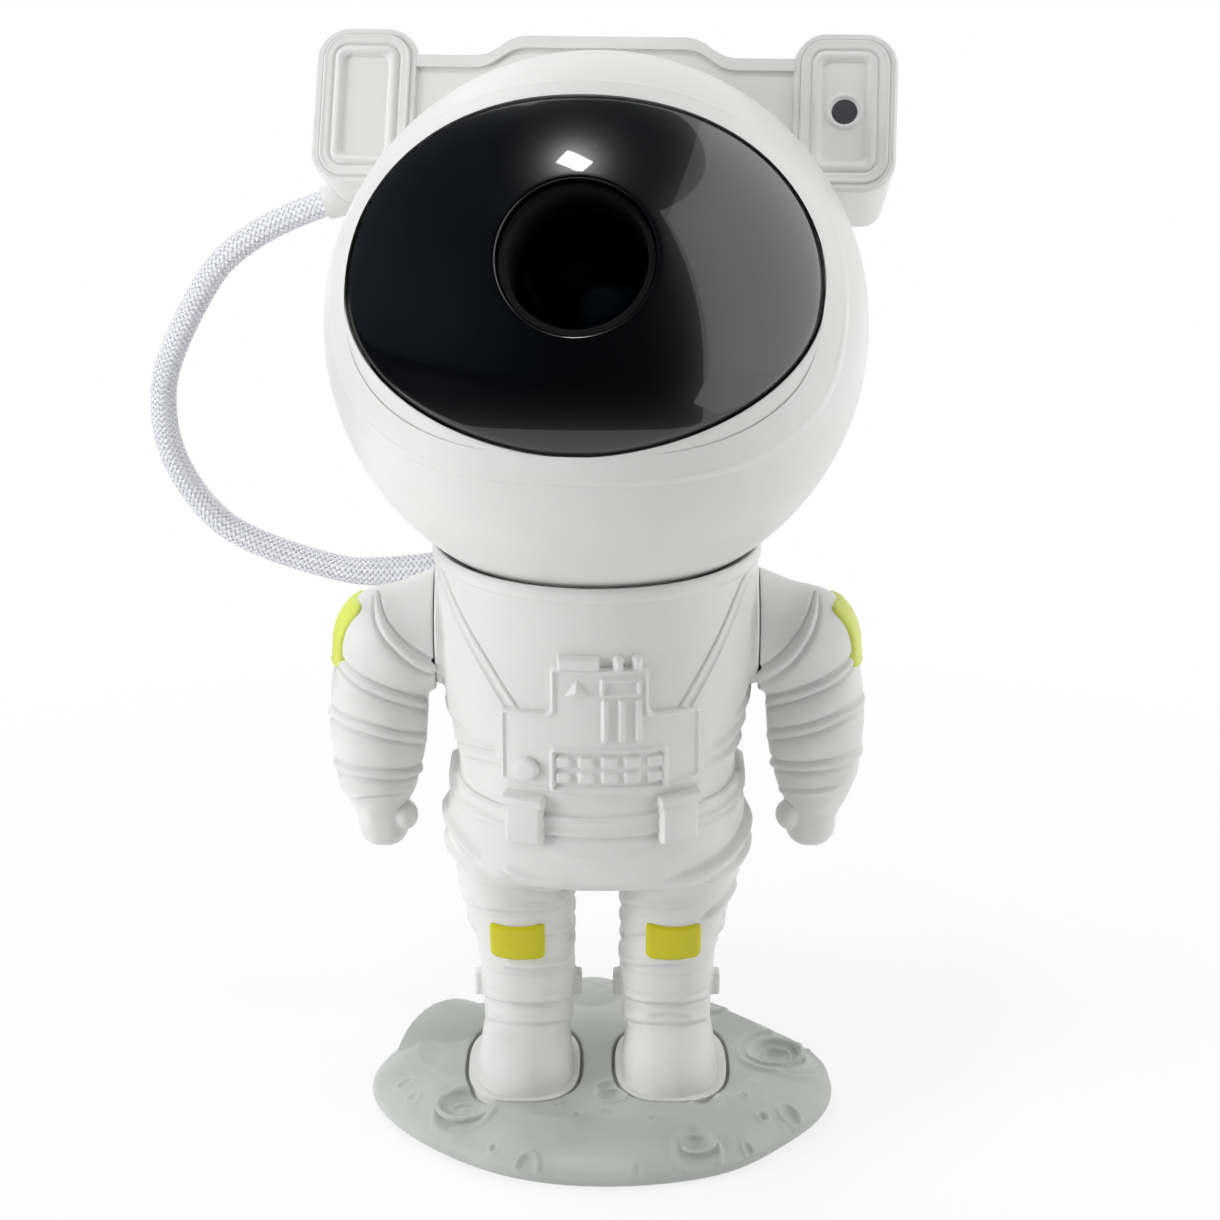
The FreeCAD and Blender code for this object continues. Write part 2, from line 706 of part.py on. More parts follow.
def half_of(shape, front):
    """The part of the suit before or behind its seam."""
    across = 2 * s.chest_half_width
    deep = 4 * s.chest_half_depth
    start = s.suit_seam - deep if front else s.suit_seam
    return shape.common(Part.makeBox(2 * across, deep, 2 * collar_top, Vector(-across, start, 0)))


def make_suit_screws():
    screws = []
    for across, height in suit_screws:
        one = screw(12.0)
        one.Placement = Place(Vector(across, suit_screw_seat, height), Turn(X, 90))
        screws.append(one)
    return Part.makeCompound(screws)


suit = make_suit()
solid("suit_front", half_of(suit, True))
solid("suit_back", half_of(suit, False))
solid("suit_screws", make_suit_screws())

for name, side in SIDES.items():
    sole = Part.Face(sole_outline(side, s.sole_bottom, s.sole_lip)).extrude(Z * s.sole_thick)
    for x, y in boot_screws:
        sole = sole.cut(tube(screw_hole, 0, 30, x, y))
    solid(f"boot_sole_{name}", sole)
    knee = side * (s.leg_half_gap + mix(s.shin_half_width, s.thigh_half_width, 0.45))
    front = plate(s.knee_patch_width, s.knee_patch_tall, 1.4, 0, 0, 0, 40)
    front.Placement = Place(Vector(knee, 0, s.knee_height), Turn(X, 90))
    patch = front.common(leg_shape(side, s.fold_rise + s.patch_thick, False)).cut(leg_shape(side))
    solid(f"knee_patch_{name}", patch)


# ---------------------------------------------------------------- collar: ball seat, friction ring and magnet
def make_neck_cup():
    """A dish whose hollow is concentric with the helmet, with a flange and a pocket for the magnet."""
    hollow = Part.makeSphere(s.head_radius + s.ball_gap, head_centre)
    under = Part.makeSphere(s.head_radius + s.ball_gap + s.cup_wall, head_centre)
    outer = s.seat_radius - s.cup_play
    rim = collar_top - 0.8
    dish = tube(outer, cup_floor - 20, rim).common(under)
    flange = tube(outer, cup_ledge, rim).cut(tube(outer - 2, cup_ledge, rim))
    pocket_floor = magnet_top - s.magnet_thick
    boss = tube(s.magnet_radius + s.magnet_play + 1.8, pocket_floor - 1.6, cup_floor + 1)
    cup = dish.fuse([flange, boss]).cut(hollow)
    cup = cup.cut(tube(s.magnet_radius + s.magnet_play, pocket_floor, cup_floor + 5))
    return cup.cut(ring_shape(s.screw_play))


magnet_top = cup_floor - 0.3
ring_radius = 0.86 * s.seat_radius


def ring_shape(play=0.0):
    """Part of a shell round the ball, between two upright cylinders."""
    inner = s.head_radius + s.ball_gap
    shell = Part.makeSphere(inner + s.ring_thick + play, head_centre)
    shell = shell.cut(Part.makeSphere(inner - play, head_centre))
    band = tube(ring_radius + play, 0, head_centre_z)
    band = band.cut(tube(ring_radius - s.ring_width - play, 0, head_centre_z))
    return shell.common(band)


solid("neck_cup", make_neck_cup())
solid("seat_ring", ring_shape())
magnet = primitive("Cylinder", "magnet", Radius="magnet_radius", Height="magnet_thick")
magnet.Placement = Place(Vector(0, 0, magnet_top - s.magnet_thick), Turn(Z, -s.head_turn))
keep(magnet, "neck_magnet")


# ---------------------------------------------------------------- arms
shoulder_centre = s.shoulder_face + s.shoulder_radius - 0.7
shoulder_low = s.shoulder_height - s.shoulder_drop
shoulder_top = s.shoulder_radius + 0.4


def arm_levels(grow, folds):
    """Level outlines of the sleeve from the shoulder to the wrist."""
    top = shoulder_low
    count = round((top - s.wrist_height) / (s.fold_pitch / 2))
    wires = []
    for i in range(count + 1):
        height = mix(s.wrist_height, top, i / count)
        if height < s.elbow_height:
            share = (height - s.wrist_height) / (s.elbow_height - s.wrist_height)
            radius = mix(s.wrist_radius + 0.4, s.elbow_radius, math.sin(share * math.pi / 2))
        else:
            share = (height - s.elbow_height) / (top - s.elbow_height)
            radius = mix(s.elbow_radius, s.shoulder_radius - 0.9, math.sin(share * math.pi / 2))
        lean = min(1, (top - height) / 14)
        centre = mix(shoulder_centre, s.arm_centre, math.sin(lean * math.pi / 2))
        ring = s.fold_rise * (i % 2) * folds
        wires.append(superellipse(centre, 0, height, radius + grow + ring, radius + grow + ring, 2.1))
    return wires


def upright_oval(across, height, half_tall, half_deep):
    """Closed oval in a plane that faces sideways."""
    wire = superellipse(-height, 0, across, half_tall, half_deep, 2.0)
    wire.rotate(Vector(), Y, 90)
    return wire


def arm_shape(grow=0.0, folds=True):
    """The right arm: sloping shoulder with its flat face, sleeve, cuff, fist and thumb."""
    radius = s.shoulder_radius + grow
    shoulder = Part.makeSphere(radius, Vector(shoulder_centre, 0, shoulder_low))
    face = upright_oval(s.shoulder_face, s.shoulder_height + shoulder_top - s.shoulder_tall / 2,
                        s.shoulder_tall / 2 + grow, radius + 0.4)
    neck = loft([face, upright_oval(shoulder_centre, shoulder_low, radius - 0.1, radius - 0.1)], True)
    sleeve = loft(arm_levels(grow, folds), folds)
    cuff = tube(s.wrist_radius + 1.2 + grow, s.wrist_height - 0.6, s.wrist_height + 1.5, s.arm_centre, 0)
    fist_levels = [(s.hand_bottom, 0.55), (mix(s.hand_bottom, s.wrist_height, 0.12), 0.82),
                   (mix(s.hand_bottom, s.wrist_height, 0.45), 1.0), (mix(s.hand_bottom, s.wrist_height, 0.8), 0.88),
                   (s.wrist_height + 1, 0.86)]
    wide = s.hand_radius
    fist = loft([superellipse(s.arm_centre - 1, 0, level, wide * share, 1.15 * wide * share, 2.5)
                 for level, share in fist_levels])
    thumb = Part.makeSphere(0.42 * s.hand_radius, Vector(s.arm_centre - s.hand_radius, -0.6 * s.hand_radius,
                                                         mix(s.hand_bottom, s.wrist_height, 0.72)))
    return shoulder.fuse([neck, sleeve, cuff, fist, thumb])


def make_arm():
    arm = arm_shape()
    body_side = Part.makeBox(40, 60, 60, Vector(s.shoulder_face - 40, -30, s.shoulder_height - 40))
    bore = Part.makeCylinder(s.pivot_radius + s.pivot_play, s.pivot_length,
                             Vector(s.shoulder_face, 0, s.shoulder_height), X)
    return arm.cut(body_side).cut(bore)


def make_shoulder_patch():
    """A raised badge shape on the outer side of the shoulder, that follows the sleeve."""
    side = plate(s.badge_tall, s.badge_width, s.badge_corner, 0, 0, 0, 4 * s.shoulder_radius)
    side.Placement = Place(Vector(shoulder_centre, 0, shoulder_low + s.badge_tall / 4), Turn(Y, 90))
    return side.common(arm_shape(s.fold_rise + s.patch_thick, False)).cut(arm_shape())


def make_pivot():
    """Headed pin: the head is inside the torso, the shank ends in the arm."""
    wall = s.chest_half_width - s.suit_wall
    head = Part.makeCylinder(s.pivot_head, 1.4, Vector(wall - 2.2, 0, s.shoulder_height), X)
    shank = Part.makeCylinder(s.pivot_radius, s.shoulder_face + s.pivot_length - 0.3 - wall + 2.2,
                              Vector(wall - 2.2, 0, s.shoulder_height), X)
    return head.fuse(shank).removeSplitter()


arm_pieces = {"arm": make_arm(), "shoulder_patch": make_shoulder_patch(), "shoulder_pivot": make_pivot()}
for label, shape in arm_pieces.items():
    solid(f"{label}_right", shape)
    solid(f"{label}_left", mirrored(shape))


# ---------------------------------------------------------------- helmet
def visor_outline(height, grow=0.0):
    """The visor's outline seen from the front, larger or smaller by a distance."""
    half_width = s.visor_half_width + grow
    return superellipse(0, -s.visor_drop, height, half_width, s.visor_half_height + grow, s.visor_power)


def visor_prism(grow=0.0):
    return Part.Face(visor_outline(0, grow)).extrude(Z * 2 * s.head_radius)


def slab_between(low, high):
    return Part.makeBox(300, 300, high - low, Vector(-150, -150, low))


fit = 0.05
ledge_depth = 3 * s.frame_thick
ledge_back = s.frame_front - s.frame_thick - ledge_depth
frame_screw_radius = math.sqrt(head_inner ** 2 - s.frame_front ** 2) - 3.6
frame_screws = [(frame_screw_radius * math.cos(angle), frame_screw_radius * math.sin(angle))
                for angle in map(math.radians, (90, 210, 330))]


def make_helmet():
    """Ball shell with its bezel, the visor's rebate and the ledge that carries the optics."""
    outer = ball(s.head_radius).fuse(ball(s.head_radius + s.bezel_rise).common(visor_prism(s.bezel_width)))
    rebate = visor_prism(s.visor_gap).cut(ball(visor_inner - fit))
    shell = outer.cut([ball(head_inner), rebate, visor_prism(-s.visor_ledge)])
    ledge_radius = frame_screw_radius - s.screw_head_radius
    ledge = slab_between(ledge_back, s.frame_front - s.frame_thick).common(ball(head_inner + s.helmet_wall / 2))
    shell = shell.fuse(ledge.cut(tube(ledge_radius, 0, 60)))
    for place in frame_screws:
        shell = shell.cut(tube(screw_hole, ledge_back - 1, s.frame_front, *place))
    return shell


def make_visor():
    """Gloss black shell on the ball's curve, with the round hole that the projector looks through."""
    shell = ball(visor_outer).cut(ball(visor_inner)).common(visor_prism())
    hole = tube(s.lens_hole_radius, 0, 2 * s.head_radius, s.lens_offset_x, s.lens_offset_y)
    return shell.cut(hole)


helmet = make_helmet()
solid("helmet_front", helmet.common(slab_between(s.helmet_seam, 100)), face_pose)
solid("helmet_back", helmet.common(slab_between(-100, s.helmet_seam)), face_pose)
solid("visor", make_visor(), face_pose)


# ---------------------------------------------------------------- ear boxes and band
def rounded_outline(width, tall, radius, across, along, height):
    """Closed outline of a rounded rectangle: four runs and four quarter arcs."""
    half_x = width / 2 - radius
    half_y = tall / 2 - radius
    edges = []
    for quarter in range(4):
        sign_x = (1, -1, -1, 1)[quarter]
        sign_y = (1, 1, -1, -1)[quarter]
        corner = Vector(across + sign_x * half_x, along + sign_y * half_y, height)
        start = math.radians(90 * quarter)
        arc = [corner + Vector(math.cos(start + a), math.sin(start + a), 0) * radius
               for a in (0, math.pi / 4, math.pi / 2)]
        edges.append(Part.Arc(*arc).toShape())
        next_x = (-1, -1, 1, 1)[quarter]
        next_y = (1, -1, -1, 1)[quarter]
        turn = Vector(math.cos(start + math.pi / 2), math.sin(start + math.pi / 2), 0) * radius
        following = Vector(across + next_x * half_x, along + next_y * half_y, height)
        edges.append(Part.LineSegment(arc[2], following + turn).toShape())
    return Part.Wire(edges)


def ear_outer(side, grow=0.0, wall=0.0):
    """Tapered box whose front edge and back edge are drawn in; a wall makes it the box's hollow."""
    centre = side * ear_centre
    levels = [(s.ear_front + grow, 1.0), (s.ear_front - 1.0, 0.0),
              (s.ear_front - 0.85 * s.ear_depth + wall, s.ear_taper),
              (s.ear_front - s.ear_depth + wall, 1.9 * s.ear_taper)]
    if wall:
        levels[0:2] = [(s.ear_front + 1, 0.0)]
    wires = []
    for height, less in levels:
        less = less + 2 * wall - 2 * grow
        corner = max(1.5, s.ear_corner - less / 2)
        wires.append(rounded_outline(s.ear_width - less, s.ear_tall - less, corner, centre, s.ear_height, height))
    return Part.makeLoft(wires, True, True)


def make_ear_box(side):
    box = ear_outer(side).cut(ear_outer(side, 0.0, s.ear_wall))
    tall = s.ear_tall - 2 * s.panel_inset
    wide = s.ear_width - 2 * s.panel_inset
    pocket = plate(wide, tall, s.ear_corner - s.panel_inset, side * ear_centre, s.ear_height,
                   s.ear_front - s.panel_thick, s.ear_front + 2)
    return box.cut(pocket).cut(ball(s.head_radius + fit))


def band_outline(height, drop):
    """Top of the band: a flat middle and an S-curve down to a shelf on each side."""
    top = s.band_top - drop
    shelf = s.band_shelf - drop
    middle = mix(s.band_half_flat, s.band_half_slope, 0.5)
    curve = Part.BezierCurve()
    curve.setPoles([Vector(s.band_half_flat, top, height), Vector(middle, top, height),
                    Vector(middle, shelf, height), Vector(s.band_half_slope, shelf, height)])
    slope = curve.toShape()
    other = slope.mirror(Vector(), X)
    low = s.ear_height - s.ear_tall / 2
    corners = [Vector(s.band_half_slope, shelf, height), Vector(ear_centre - s.ear_width / 3, shelf, height),
               Vector(ear_centre - s.ear_width / 3, low, height)]
    mirrored_corners = [Vector(-corner.x, corner.y, corner.z) for corner in reversed(corners)]
    lines = corners + mirrored_corners
    edges = [Part.LineSegment(a, b).toShape() for a, b in zip(lines, lines[1:])]
    flat_ends = [Vector(side * s.band_half_flat, top, height) for side in (-1, 1)]
    flat = Part.LineSegment(*flat_ends).toShape()
    return Part.Wire(Part.__sortEdges__([slope, other, flat] + edges))


def make_band():
    """The band over the helmet, lower at the back, with a raised rim along its front edge."""
    back = s.ear_front - s.band_depth
    band = Part.makeLoft([band_outline(back, 3.0), band_outline(s.ear_front, 0.0)], True, True)
    recess = Part.Face(band_outline(s.ear_front - s.panel_rise, s.band_rim)).extrude(Z * 2)
    return band.cut([recess, ear_outer(-1, fit), ear_outer(1, fit), ball(s.head_radius + fit)])


solid("top_band", make_band(), face_pose)
for name, side in SIDES.items():
    solid(f"ear_box_{name}", make_ear_box(side), face_pose)


def panel_body(name, side, window):
    """Front panel of an ear box: a plate, a raised field and a shallow recess in it."""
    pose = face_pose * Place(Vector(side * ear_centre, s.ear_height, s.ear_front - s.panel_thick), Turn())
    body = new_body(f"ear_panel_{name}", pose)
    inset = "panel_inset + panel_play"
    outline = new_sketch(body, f"panel_outline_{name}")
    draw_box(outline, f"ear_width / 2 - ({inset})", f"ear_tall / 2 - ({inset})")
    base = feature(body, "Pad", f"panel_plate_{name}", outline, "panel_thick")
    base = round_edges(body, base, edges_along(base.Shape, Z), f"ear_corner - ({inset})", f"panel_corners_{name}")
    field = new_sketch(body, f"panel_field_outline_{name}")
    draw_box(field, "ear_width / 2 - panel_inset - 2.6", "ear_tall / 2 - panel_inset - 2.2")
    raised_field = feature(body, "Pad", f"panel_field_{name}", field, "panel_thick + panel_rise")
    upright = [edge for edge in edges_along(raised_field.Shape, Z)
               if raised_field.Shape.getElement(edge).BoundBox.ZMax > s.panel_thick + 0.1]
    raised_field = round_edges(body, raised_field, upright, "ear_corner / 2", f"field_corners_{name}")
    recess = new_sketch(body, f"panel_recess_outline_{name}")
    draw_box(recess, "ear_width / 2 - panel_inset - 3.7", "ear_tall / 2 - panel_inset - 4.2")
    recess.AttachmentOffset = Place(Vector(0, 0, s.panel_thick + s.panel_rise), Turn())
    bind(recess, AttachmentOffset__Base__z="panel_thick + panel_rise")
    feature(body, "Pocket", f"panel_recess_{name}", recess, "panel_rise")
    if window:
        holder = new_sketch(body, f"laser_holder_outline_{name}")
        draw_circle(holder, "laser_radius + 1.4")
        feature(body, "Pad", f"laser_holder_{name}", holder, "4", True)
        bore = new_sketch(body, f"laser_bore_outline_{name}")
        draw_circle(bore, "laser_radius + panel_play")
        feature(body, "Pocket", f"laser_bore_{name}", bore, "4.2", False)
        hole = new_sketch(body, f"window_hole_outline_{name}")
        draw_circle(hole, "window_radius + screw_play")
        feature(body, "Pocket", f"window_hole_{name}", hole, "panel_thick + 2", True)
    helmet_side = doc.addObject("Part::Feature", f"panel_tool_{name}")
    helmet_side.Shape = ball(s.head_radius + fit)
    helmet_side.Placement = face_pose
    keep(combine("Cut", f"panel_cut_{name}", body, helmet_side), f"ear_panel_{name}")


panel_body("left", -1, False)
panel_body("right", 1, True)
window_pose = face_pose * Place(Vector(ear_centre, s.ear_height, s.ear_front - s.panel_thick), Turn())
window = primitive("Cylinder", "window", Radius="window_radius", Height="panel_thick * 0.7")
window.Placement = window_pose
keep(window, "laser_window")


def make_laser():
    """Laser module: a brass barrel with a collar at its back."""
    barrel = tube(s.laser_radius, -s.laser_length, -fit)
    collar = tube(s.laser_radius * 0.75, -s.laser_length - 3, -s.laser_length)
    return barrel.fuse(collar).removeSplitter()


solid("star_laser", make_laser(), window_pose)


# ---------------------------------------------------------------- projector
bore_radius = tube_radius - s.tube_wall
disc_centre = Vector(s.disc_offset, 0, 0)
plate_back = s.frame_front - s.frame_thick
bridge_front = s.bridge_back + s.frame_thick
holder_radius = s.condenser_radius + 1.2
condenser_seat = bridge_front + 6.0


def make_lens_tube():
    """Black tube from the frame to the visor, flanged at the back, with a step that the lens sits on."""
    body = new_body("lens_tube", optic_pose * Place(Vector(0, 0, s.frame_front), Turn(X, 90)))
    front = "sqrt((head_radius + visor_rise - visor_wall) ^ 2 - lens_hole_radius ^ 2) - frame_front - tube_gap"
    outer = "lens_hole_radius - tube_gap"
    inner = f"{outer} - tube_wall"
    section = new_sketch(body, "tube_section", "XY_Plane")
    draw_polygon(section, [(f"{inner} - 1.2", "0"), (f"{outer} + tube_flange", "0"),
                           (f"{outer} + tube_flange", "1.6"), (outer, "1.6"), (outer, front), (inner, front),
                           (inner, "4"), (f"{inner} - 1.2", "4")])
    revolve(body, section, "tube_turned")
    keep(body, "lens_tube")


def lens_shape(radius, thick, edge, flat_back):
    """A lens along z with its back at 0: two ball caps, or one cap on a flat back."""
    bulge = (thick - edge) / (1 if flat_back else 2)
    curve = (radius ** 2 + bulge ** 2) / (2 * bulge)
    rod = tube(radius, 0, thick)
    lens = rod.common(Part.makeSphere(curve, Vector(0, 0, thick - curve)))
    return lens if flat_back else lens.common(Part.makeSphere(curve, Vector(0, 0, curve)))


def make_frame():
    """Front plate seated on the helmet's ledge, four pillars and a bridge with the condenser's holder."""
    shift = Vector(-s.lens_offset_x, -s.lens_offset_y, 0)
    inside = Part.makeSphere(head_inner - fit, shift)
    front = inside.common(slab_between(plate_back, s.frame_front))
    front = front.cut(tube(bore_radius - 1.2, 0, 60))
    front = front.cut(plate(s.condenser_radius + 3, 5 * s.condenser_radius, 4, -2 * disc_centre.x, 0, 0, 60))
    reach = s.disc_radius / math.sqrt(2) + 2.0
    bridge = plate(2 * reach + 6, 2 * reach + 6, 4, disc_centre.x, 0, s.bridge_back, bridge_front)
    pillars = [tube(1.8, bridge_front - 0.5, plate_back + 0.5, disc_centre.x + i * reach, j * reach)
               for i in (-1, 1) for j in (-1, 1)]
    holder = tube(holder_radius, bridge_front - 0.5, condenser_seat + 2)
    frame = front.fuse([bridge, holder] + pillars)
    frame = frame.cut(tube(s.condenser_radius + s.lens_play, condenser_seat, condenser_seat + 10))
    frame = frame.cut(tube(s.condenser_radius - 1, bridge_front, condenser_seat + 1))
    for x, y in frame_screws:
        frame = frame.cut(tube(screw_hole, plate_back - 1, s.frame_front + 1, x + shift.x, y + shift.y))
    return frame


def make_disc():
    """Rippled colour disc: a hub, a plate and a ring of round windows."""
    body = new_body("nebula_disc", optic_pose * Place(disc_centre + Z * (s.disc_front - s.disc_thick), Turn()))
    outline = new_sketch(body, "disc_outline")
    draw_circle(outline, "disc_radius")
    feature(body, "Pad", "disc_plate", outline, "disc_thick")
    hub = new_sketch(body, "hub_outline")
    draw_circle(hub, "3 * shaft_radius")
    feature(body, "Pad", "disc_hub", hub, "2", True)
    dimple = new_sketch(body, "dimple_outline")
    draw_circle(dimple, "disc_radius * 0.16", "disc_radius * 0.62")
    bind(dimple, AttachmentOffset__Base__z="disc_thick")
    first = feature(body, "Pocket", "dimple", dimple, "disc_thick / 2")
    ring = body.newObject("PartDesign::PolarPattern", "dimple_ring")
    ring.Originals = [first]
    ring.Axis = (dimple, ["N_Axis"])
    ring.Angle = 360
    ring.Occurrences = 9
    body.Tip = ring
    doc.recompute()
    bore = new_sketch(body, "shaft_bore_outline")
    draw_circle(bore, "shaft_radius + shaft_play")
    bind(bore, AttachmentOffset__Base__z="disc_thick")
    feature(body, "Pocket", "shaft_bore", bore, "disc_thick + 3")
    keep(body, "nebula_disc")


def make_motor():
    """Can motor on the bridge, with its boss and shaft."""
    can_top = s.disc_front - s.disc_thick - 4.5
    can = tube(s.motor_radius, bridge_front, can_top)
    boss = tube(2.2 * s.shaft_radius, can_top, can_top + 1.2)
    shaft = tube(s.shaft_radius, can_top + 1.2, s.disc_front + 0.8)
    return can.fuse([boss, shaft]).removeSplitter()


def make_led_board():
    board = tube(s.condenser_radius - 1.4, bridge_front, bridge_front + s.board_thick)
    dome = Part.makeSphere(2.0, Vector(0, 0, bridge_front + s.board_thick))
    dome = dome.common(slab_between(bridge_front, 50))
    return board.fuse(dome)


def make_sink():
    """Heat sink behind the bridge: a base plate and a row of fins."""
    body = new_body("heat_sink", optic_pose * Place(Vector(0, 0, s.bridge_back), Turn(X, 180)))
    outline = new_sketch(body, "sink_outline")
    draw_box(outline, "sink_side / 2", "sink_side / 2")
    block = feature(body, "Pad", "sink_block", outline, "sink_depth")
    block = round_edges(body, block, edges_along(block.Shape, Z), "1.5", "sink_corners")
    slot = new_sketch(body, "slot_outline")
    draw_box(slot, "sink_side / 26", "sink_side", "-sink_side * 5 / 13")
    bind(slot, AttachmentOffset__Base__z="sink_depth")
    first = feature(body, "Pocket", "slot", slot, "sink_depth * 0.75")
    row = body.newObject("PartDesign::LinearPattern", "slots")
    row.Originals = [first]
    row.Direction = (slot, ["H_Axis"])
    bind(row, Length="sink_side * 10 / 13")
    row.Occurrences = 6
    body.Tip = row
    doc.recompute()
    keep(body, "heat_sink")


def make_frame_screws():
    screws = []
    for x, y in frame_screws:
        one = screw(s.frame_thick + ledge_depth - 1)
        one.Placement = Place(Vector(x, y, s.frame_front), Turn(X, 180))
        screws.append(one)
    return Part.makeCompound(screws)


make_lens_tube()
front_lens = lens_shape(lens_radius, s.lens_thick, 1.6, False)
solid("front_lens", front_lens, optic_pose * Place(Vector(0, 0, s.frame_front + 4), Turn()))
solid("optics_frame", make_frame(), optic_pose)
make_disc()
solid("disc_motor", make_motor(), optic_pose * Place(disc_centre, Turn()))
condenser = lens_shape(s.condenser_radius, 4.5, 1.2, True)
solid("condenser_lens", condenser, optic_pose * Place(Vector(0, 0, condenser_seat), Turn()))
solid("led_board", make_led_board(), optic_pose)
make_sink()
solid("frame_screws", make_frame_screws(), face_pose)

# Steel dish in the bottom of the helmet, concentric with it: a ball cap less a smaller ball.
cap = primitive("Sphere", "dish_cap", Radius="head_radius - helmet_wall - ball_gap", Angle2="keeper_angle - 90")
cap_inner = primitive("Sphere", "dish_hollow", Radius="head_radius - helmet_wall - ball_gap - keeper_wall")
keeper = combine("Cut", "dish", cap, cap_inner)
keeper.Placement = Place(head_centre, Turn(Z, -s.head_turn))
keep(keeper, "keeper_dish")


# ---------------------------------------------------------------- backpack
pack_front = 0.6 * s.chest_half_depth


def button_place(number):
    return f"{number} * button_pitch"


def make_pack_shell():
    """Rounded box, open towards the torso, with the button holes; then cut to the back's curve."""
    middle = Vector(0, (s.pack_bottom + s.pack_top) / 2, pack_front)
    body = new_body("pack_body", pack_pose * Place(middle, Turn()))
    depth = "(pack_back - chest_half_depth * 0.6)"
    tall = "(pack_top - pack_bottom) / 2"
    outline = new_sketch(body, "pack_outline")
    draw_box(outline, "pack_half_width", tall)
    block = feature(body, "Pad", "pack_block", outline, depth)
    block = round_edges(body, block, edges_along(block.Shape, Z), "pack_corner", "pack_corners")
    face_high = [f"Edge{n}" for n, edge in enumerate(block.Shape.Edges, 1)
                 if edge.BoundBox.ZMin > s.pack_back - pack_front - 0.01]
    block = round_edges(body, block, face_high, "pack_corner / 2", "pack_edge")
    hollow = new_sketch(body, "hollow_outline")
    draw_box(hollow, "pack_half_width - pack_wall", f"{tall} - pack_wall")
    room = feature(body, "Pocket", "hollow", hollow, f"{depth} - pack_wall", True)
    inner = [name for name in edges_along(room.Shape, Z, 5)
             if abs(abs(room.Shape.getElement(name).CenterOfMass.x) - s.pack_half_width + s.pack_wall) < 0.01]
    room = round_edges(body, room, inner, "pack_corner - pack_wall", "hollow_corners")
    holes = new_sketch(body, "button_holes_outline")
    for number in (-1, 0, 1):
        draw_circle(holes, "button_radius + button_play", button_place(number),
                    "button_height - (pack_top + pack_bottom) / 2")
    feature(body, "Pocket", "button_holes", holes, depth + " + 1", True)
    tools = torso_shape(s.pack_play / 2)
    inlet_hole = Part.makeBox(s.inlet_width + 2 * s.pack_play, s.inlet_height + 2 * s.pack_play, 3 * s.pack_wall,
                              Vector(-s.inlet_width / 2 - s.pack_play, s.board_back - s.pack_play,
                                     s.pack_bottom - s.pack_wall))
    spigot = Part.makeCylinder(0.7 * s.gland_radius + fit, 3 * s.pack_wall,
                               lower_gland + Vector(s.gland_length + 2 * s.pack_wall, 0, 0), -X)
    tool = doc.addObject("Part::Feature", "pack_tools")
    tool.Shape = tools.fuse([inlet_hole, spigot])
    keep(combine("Cut", "pack", body, tool), "backpack_shell")


def make_pack_plate():
    """Inner plate of the pack with four posts that carry the board."""
    half = s.pack_half_width - s.pack_wall - s.pack_play
    tall = (s.pack_top - s.pack_bottom) / 2 - s.pack_wall - s.pack_play
    middle = (s.pack_top + s.pack_bottom) / 2
    body = plate(2 * half, 2 * tall, s.pack_corner - s.pack_wall, 0, middle, s.lid_front, s.lid_front + s.lid_thick)
    lid_back = s.lid_front + s.lid_thick
    posts = [tube(2.2, lid_back, s.board_back - s.board_thick, i * 0.62 * half, middle + j * 0.62 * tall)
             for i in (-1, 1) for j in (-1, 1)]
    return body.fuse(posts)


def make_board():
    """Control board with three push switches, each behind its button."""
    low = s.pack_bottom + s.pack_wall + 0.6
    high = s.button_height + s.switch_side + 3
    board = plate(1.6 * s.pack_half_width, high - low, 1.5, 0, (low + high) / 2, s.board_back - s.board_thick,
                  s.board_back)
    pieces = []
    for number in (-1, 0, 1):
        x = number * s.button_pitch
        switch = plate(s.switch_side, s.switch_side, 0.6, x, s.button_height, s.board_back, switch_top - 0.9)
        pieces.append(switch)
        pieces.append(tube(1.7, switch_top - 1, switch_top, x, s.button_height))
    return board.fuse(pieces)


def make_inlet():
    """Power inlet: a metal sleeve with a tongue, open downwards."""
    outer = plate(s.inlet_width, s.inlet_height, s.inlet_height / 2 - 0.05, 0, 0, 0, s.inlet_depth)
    inner = plate(s.inlet_width - 0.8, s.inlet_height - 0.8, s.inlet_height / 2 - 0.45, 0, 0, 0, s.inlet_depth - 1)
    tongue = Part.makeBox(s.inlet_width - 2.4, 0.7, s.inlet_depth - 1.5, Vector(1.2 - s.inlet_width / 2, -0.35, 0.8))
    return outer.cut(inner).fuse(tongue)


button_seat = s.pack_back - s.pack_wall
switch_top = button_seat - s.button_flange - s.button_travel - 3.0


def make_button(name, number):
    """Cap with a rounded top edge, a flange that stops behind the wall, and a stem over the switch."""
    pose = pack_pose * Place(Vector(number * s.button_pitch, s.button_height, button_seat), Turn())
    body = new_body(f"button_{name}", pose)
    cap_outline = new_sketch(body, f"cap_outline_{name}")
    draw_circle(cap_outline, "button_radius")
    top = feature(body, "Pad", f"cap_{name}", cap_outline, "pack_wall + button_rise")
    rim = [f"Edge{n}" for n, edge in enumerate(top.Shape.Edges, 1)
           if edge.BoundBox.ZMin > s.pack_wall + s.button_rise - 0.01]
    round_edges(body, top, rim, "button_rise / 2", f"cap_edge_{name}")
    flange = new_sketch(body, f"flange_outline_{name}")
    draw_circle(flange, "button_radius + 1.2")
    feature(body, "Pad", f"flange_{name}", flange, "button_flange", True)
    stem = new_sketch(body, f"stem_outline_{name}")
    draw_circle(stem, "1.5")
    feature(body, "Pad", f"stem_{name}", stem, "button_flange + 2.7", True)
    keep(body, f"button_{name}")


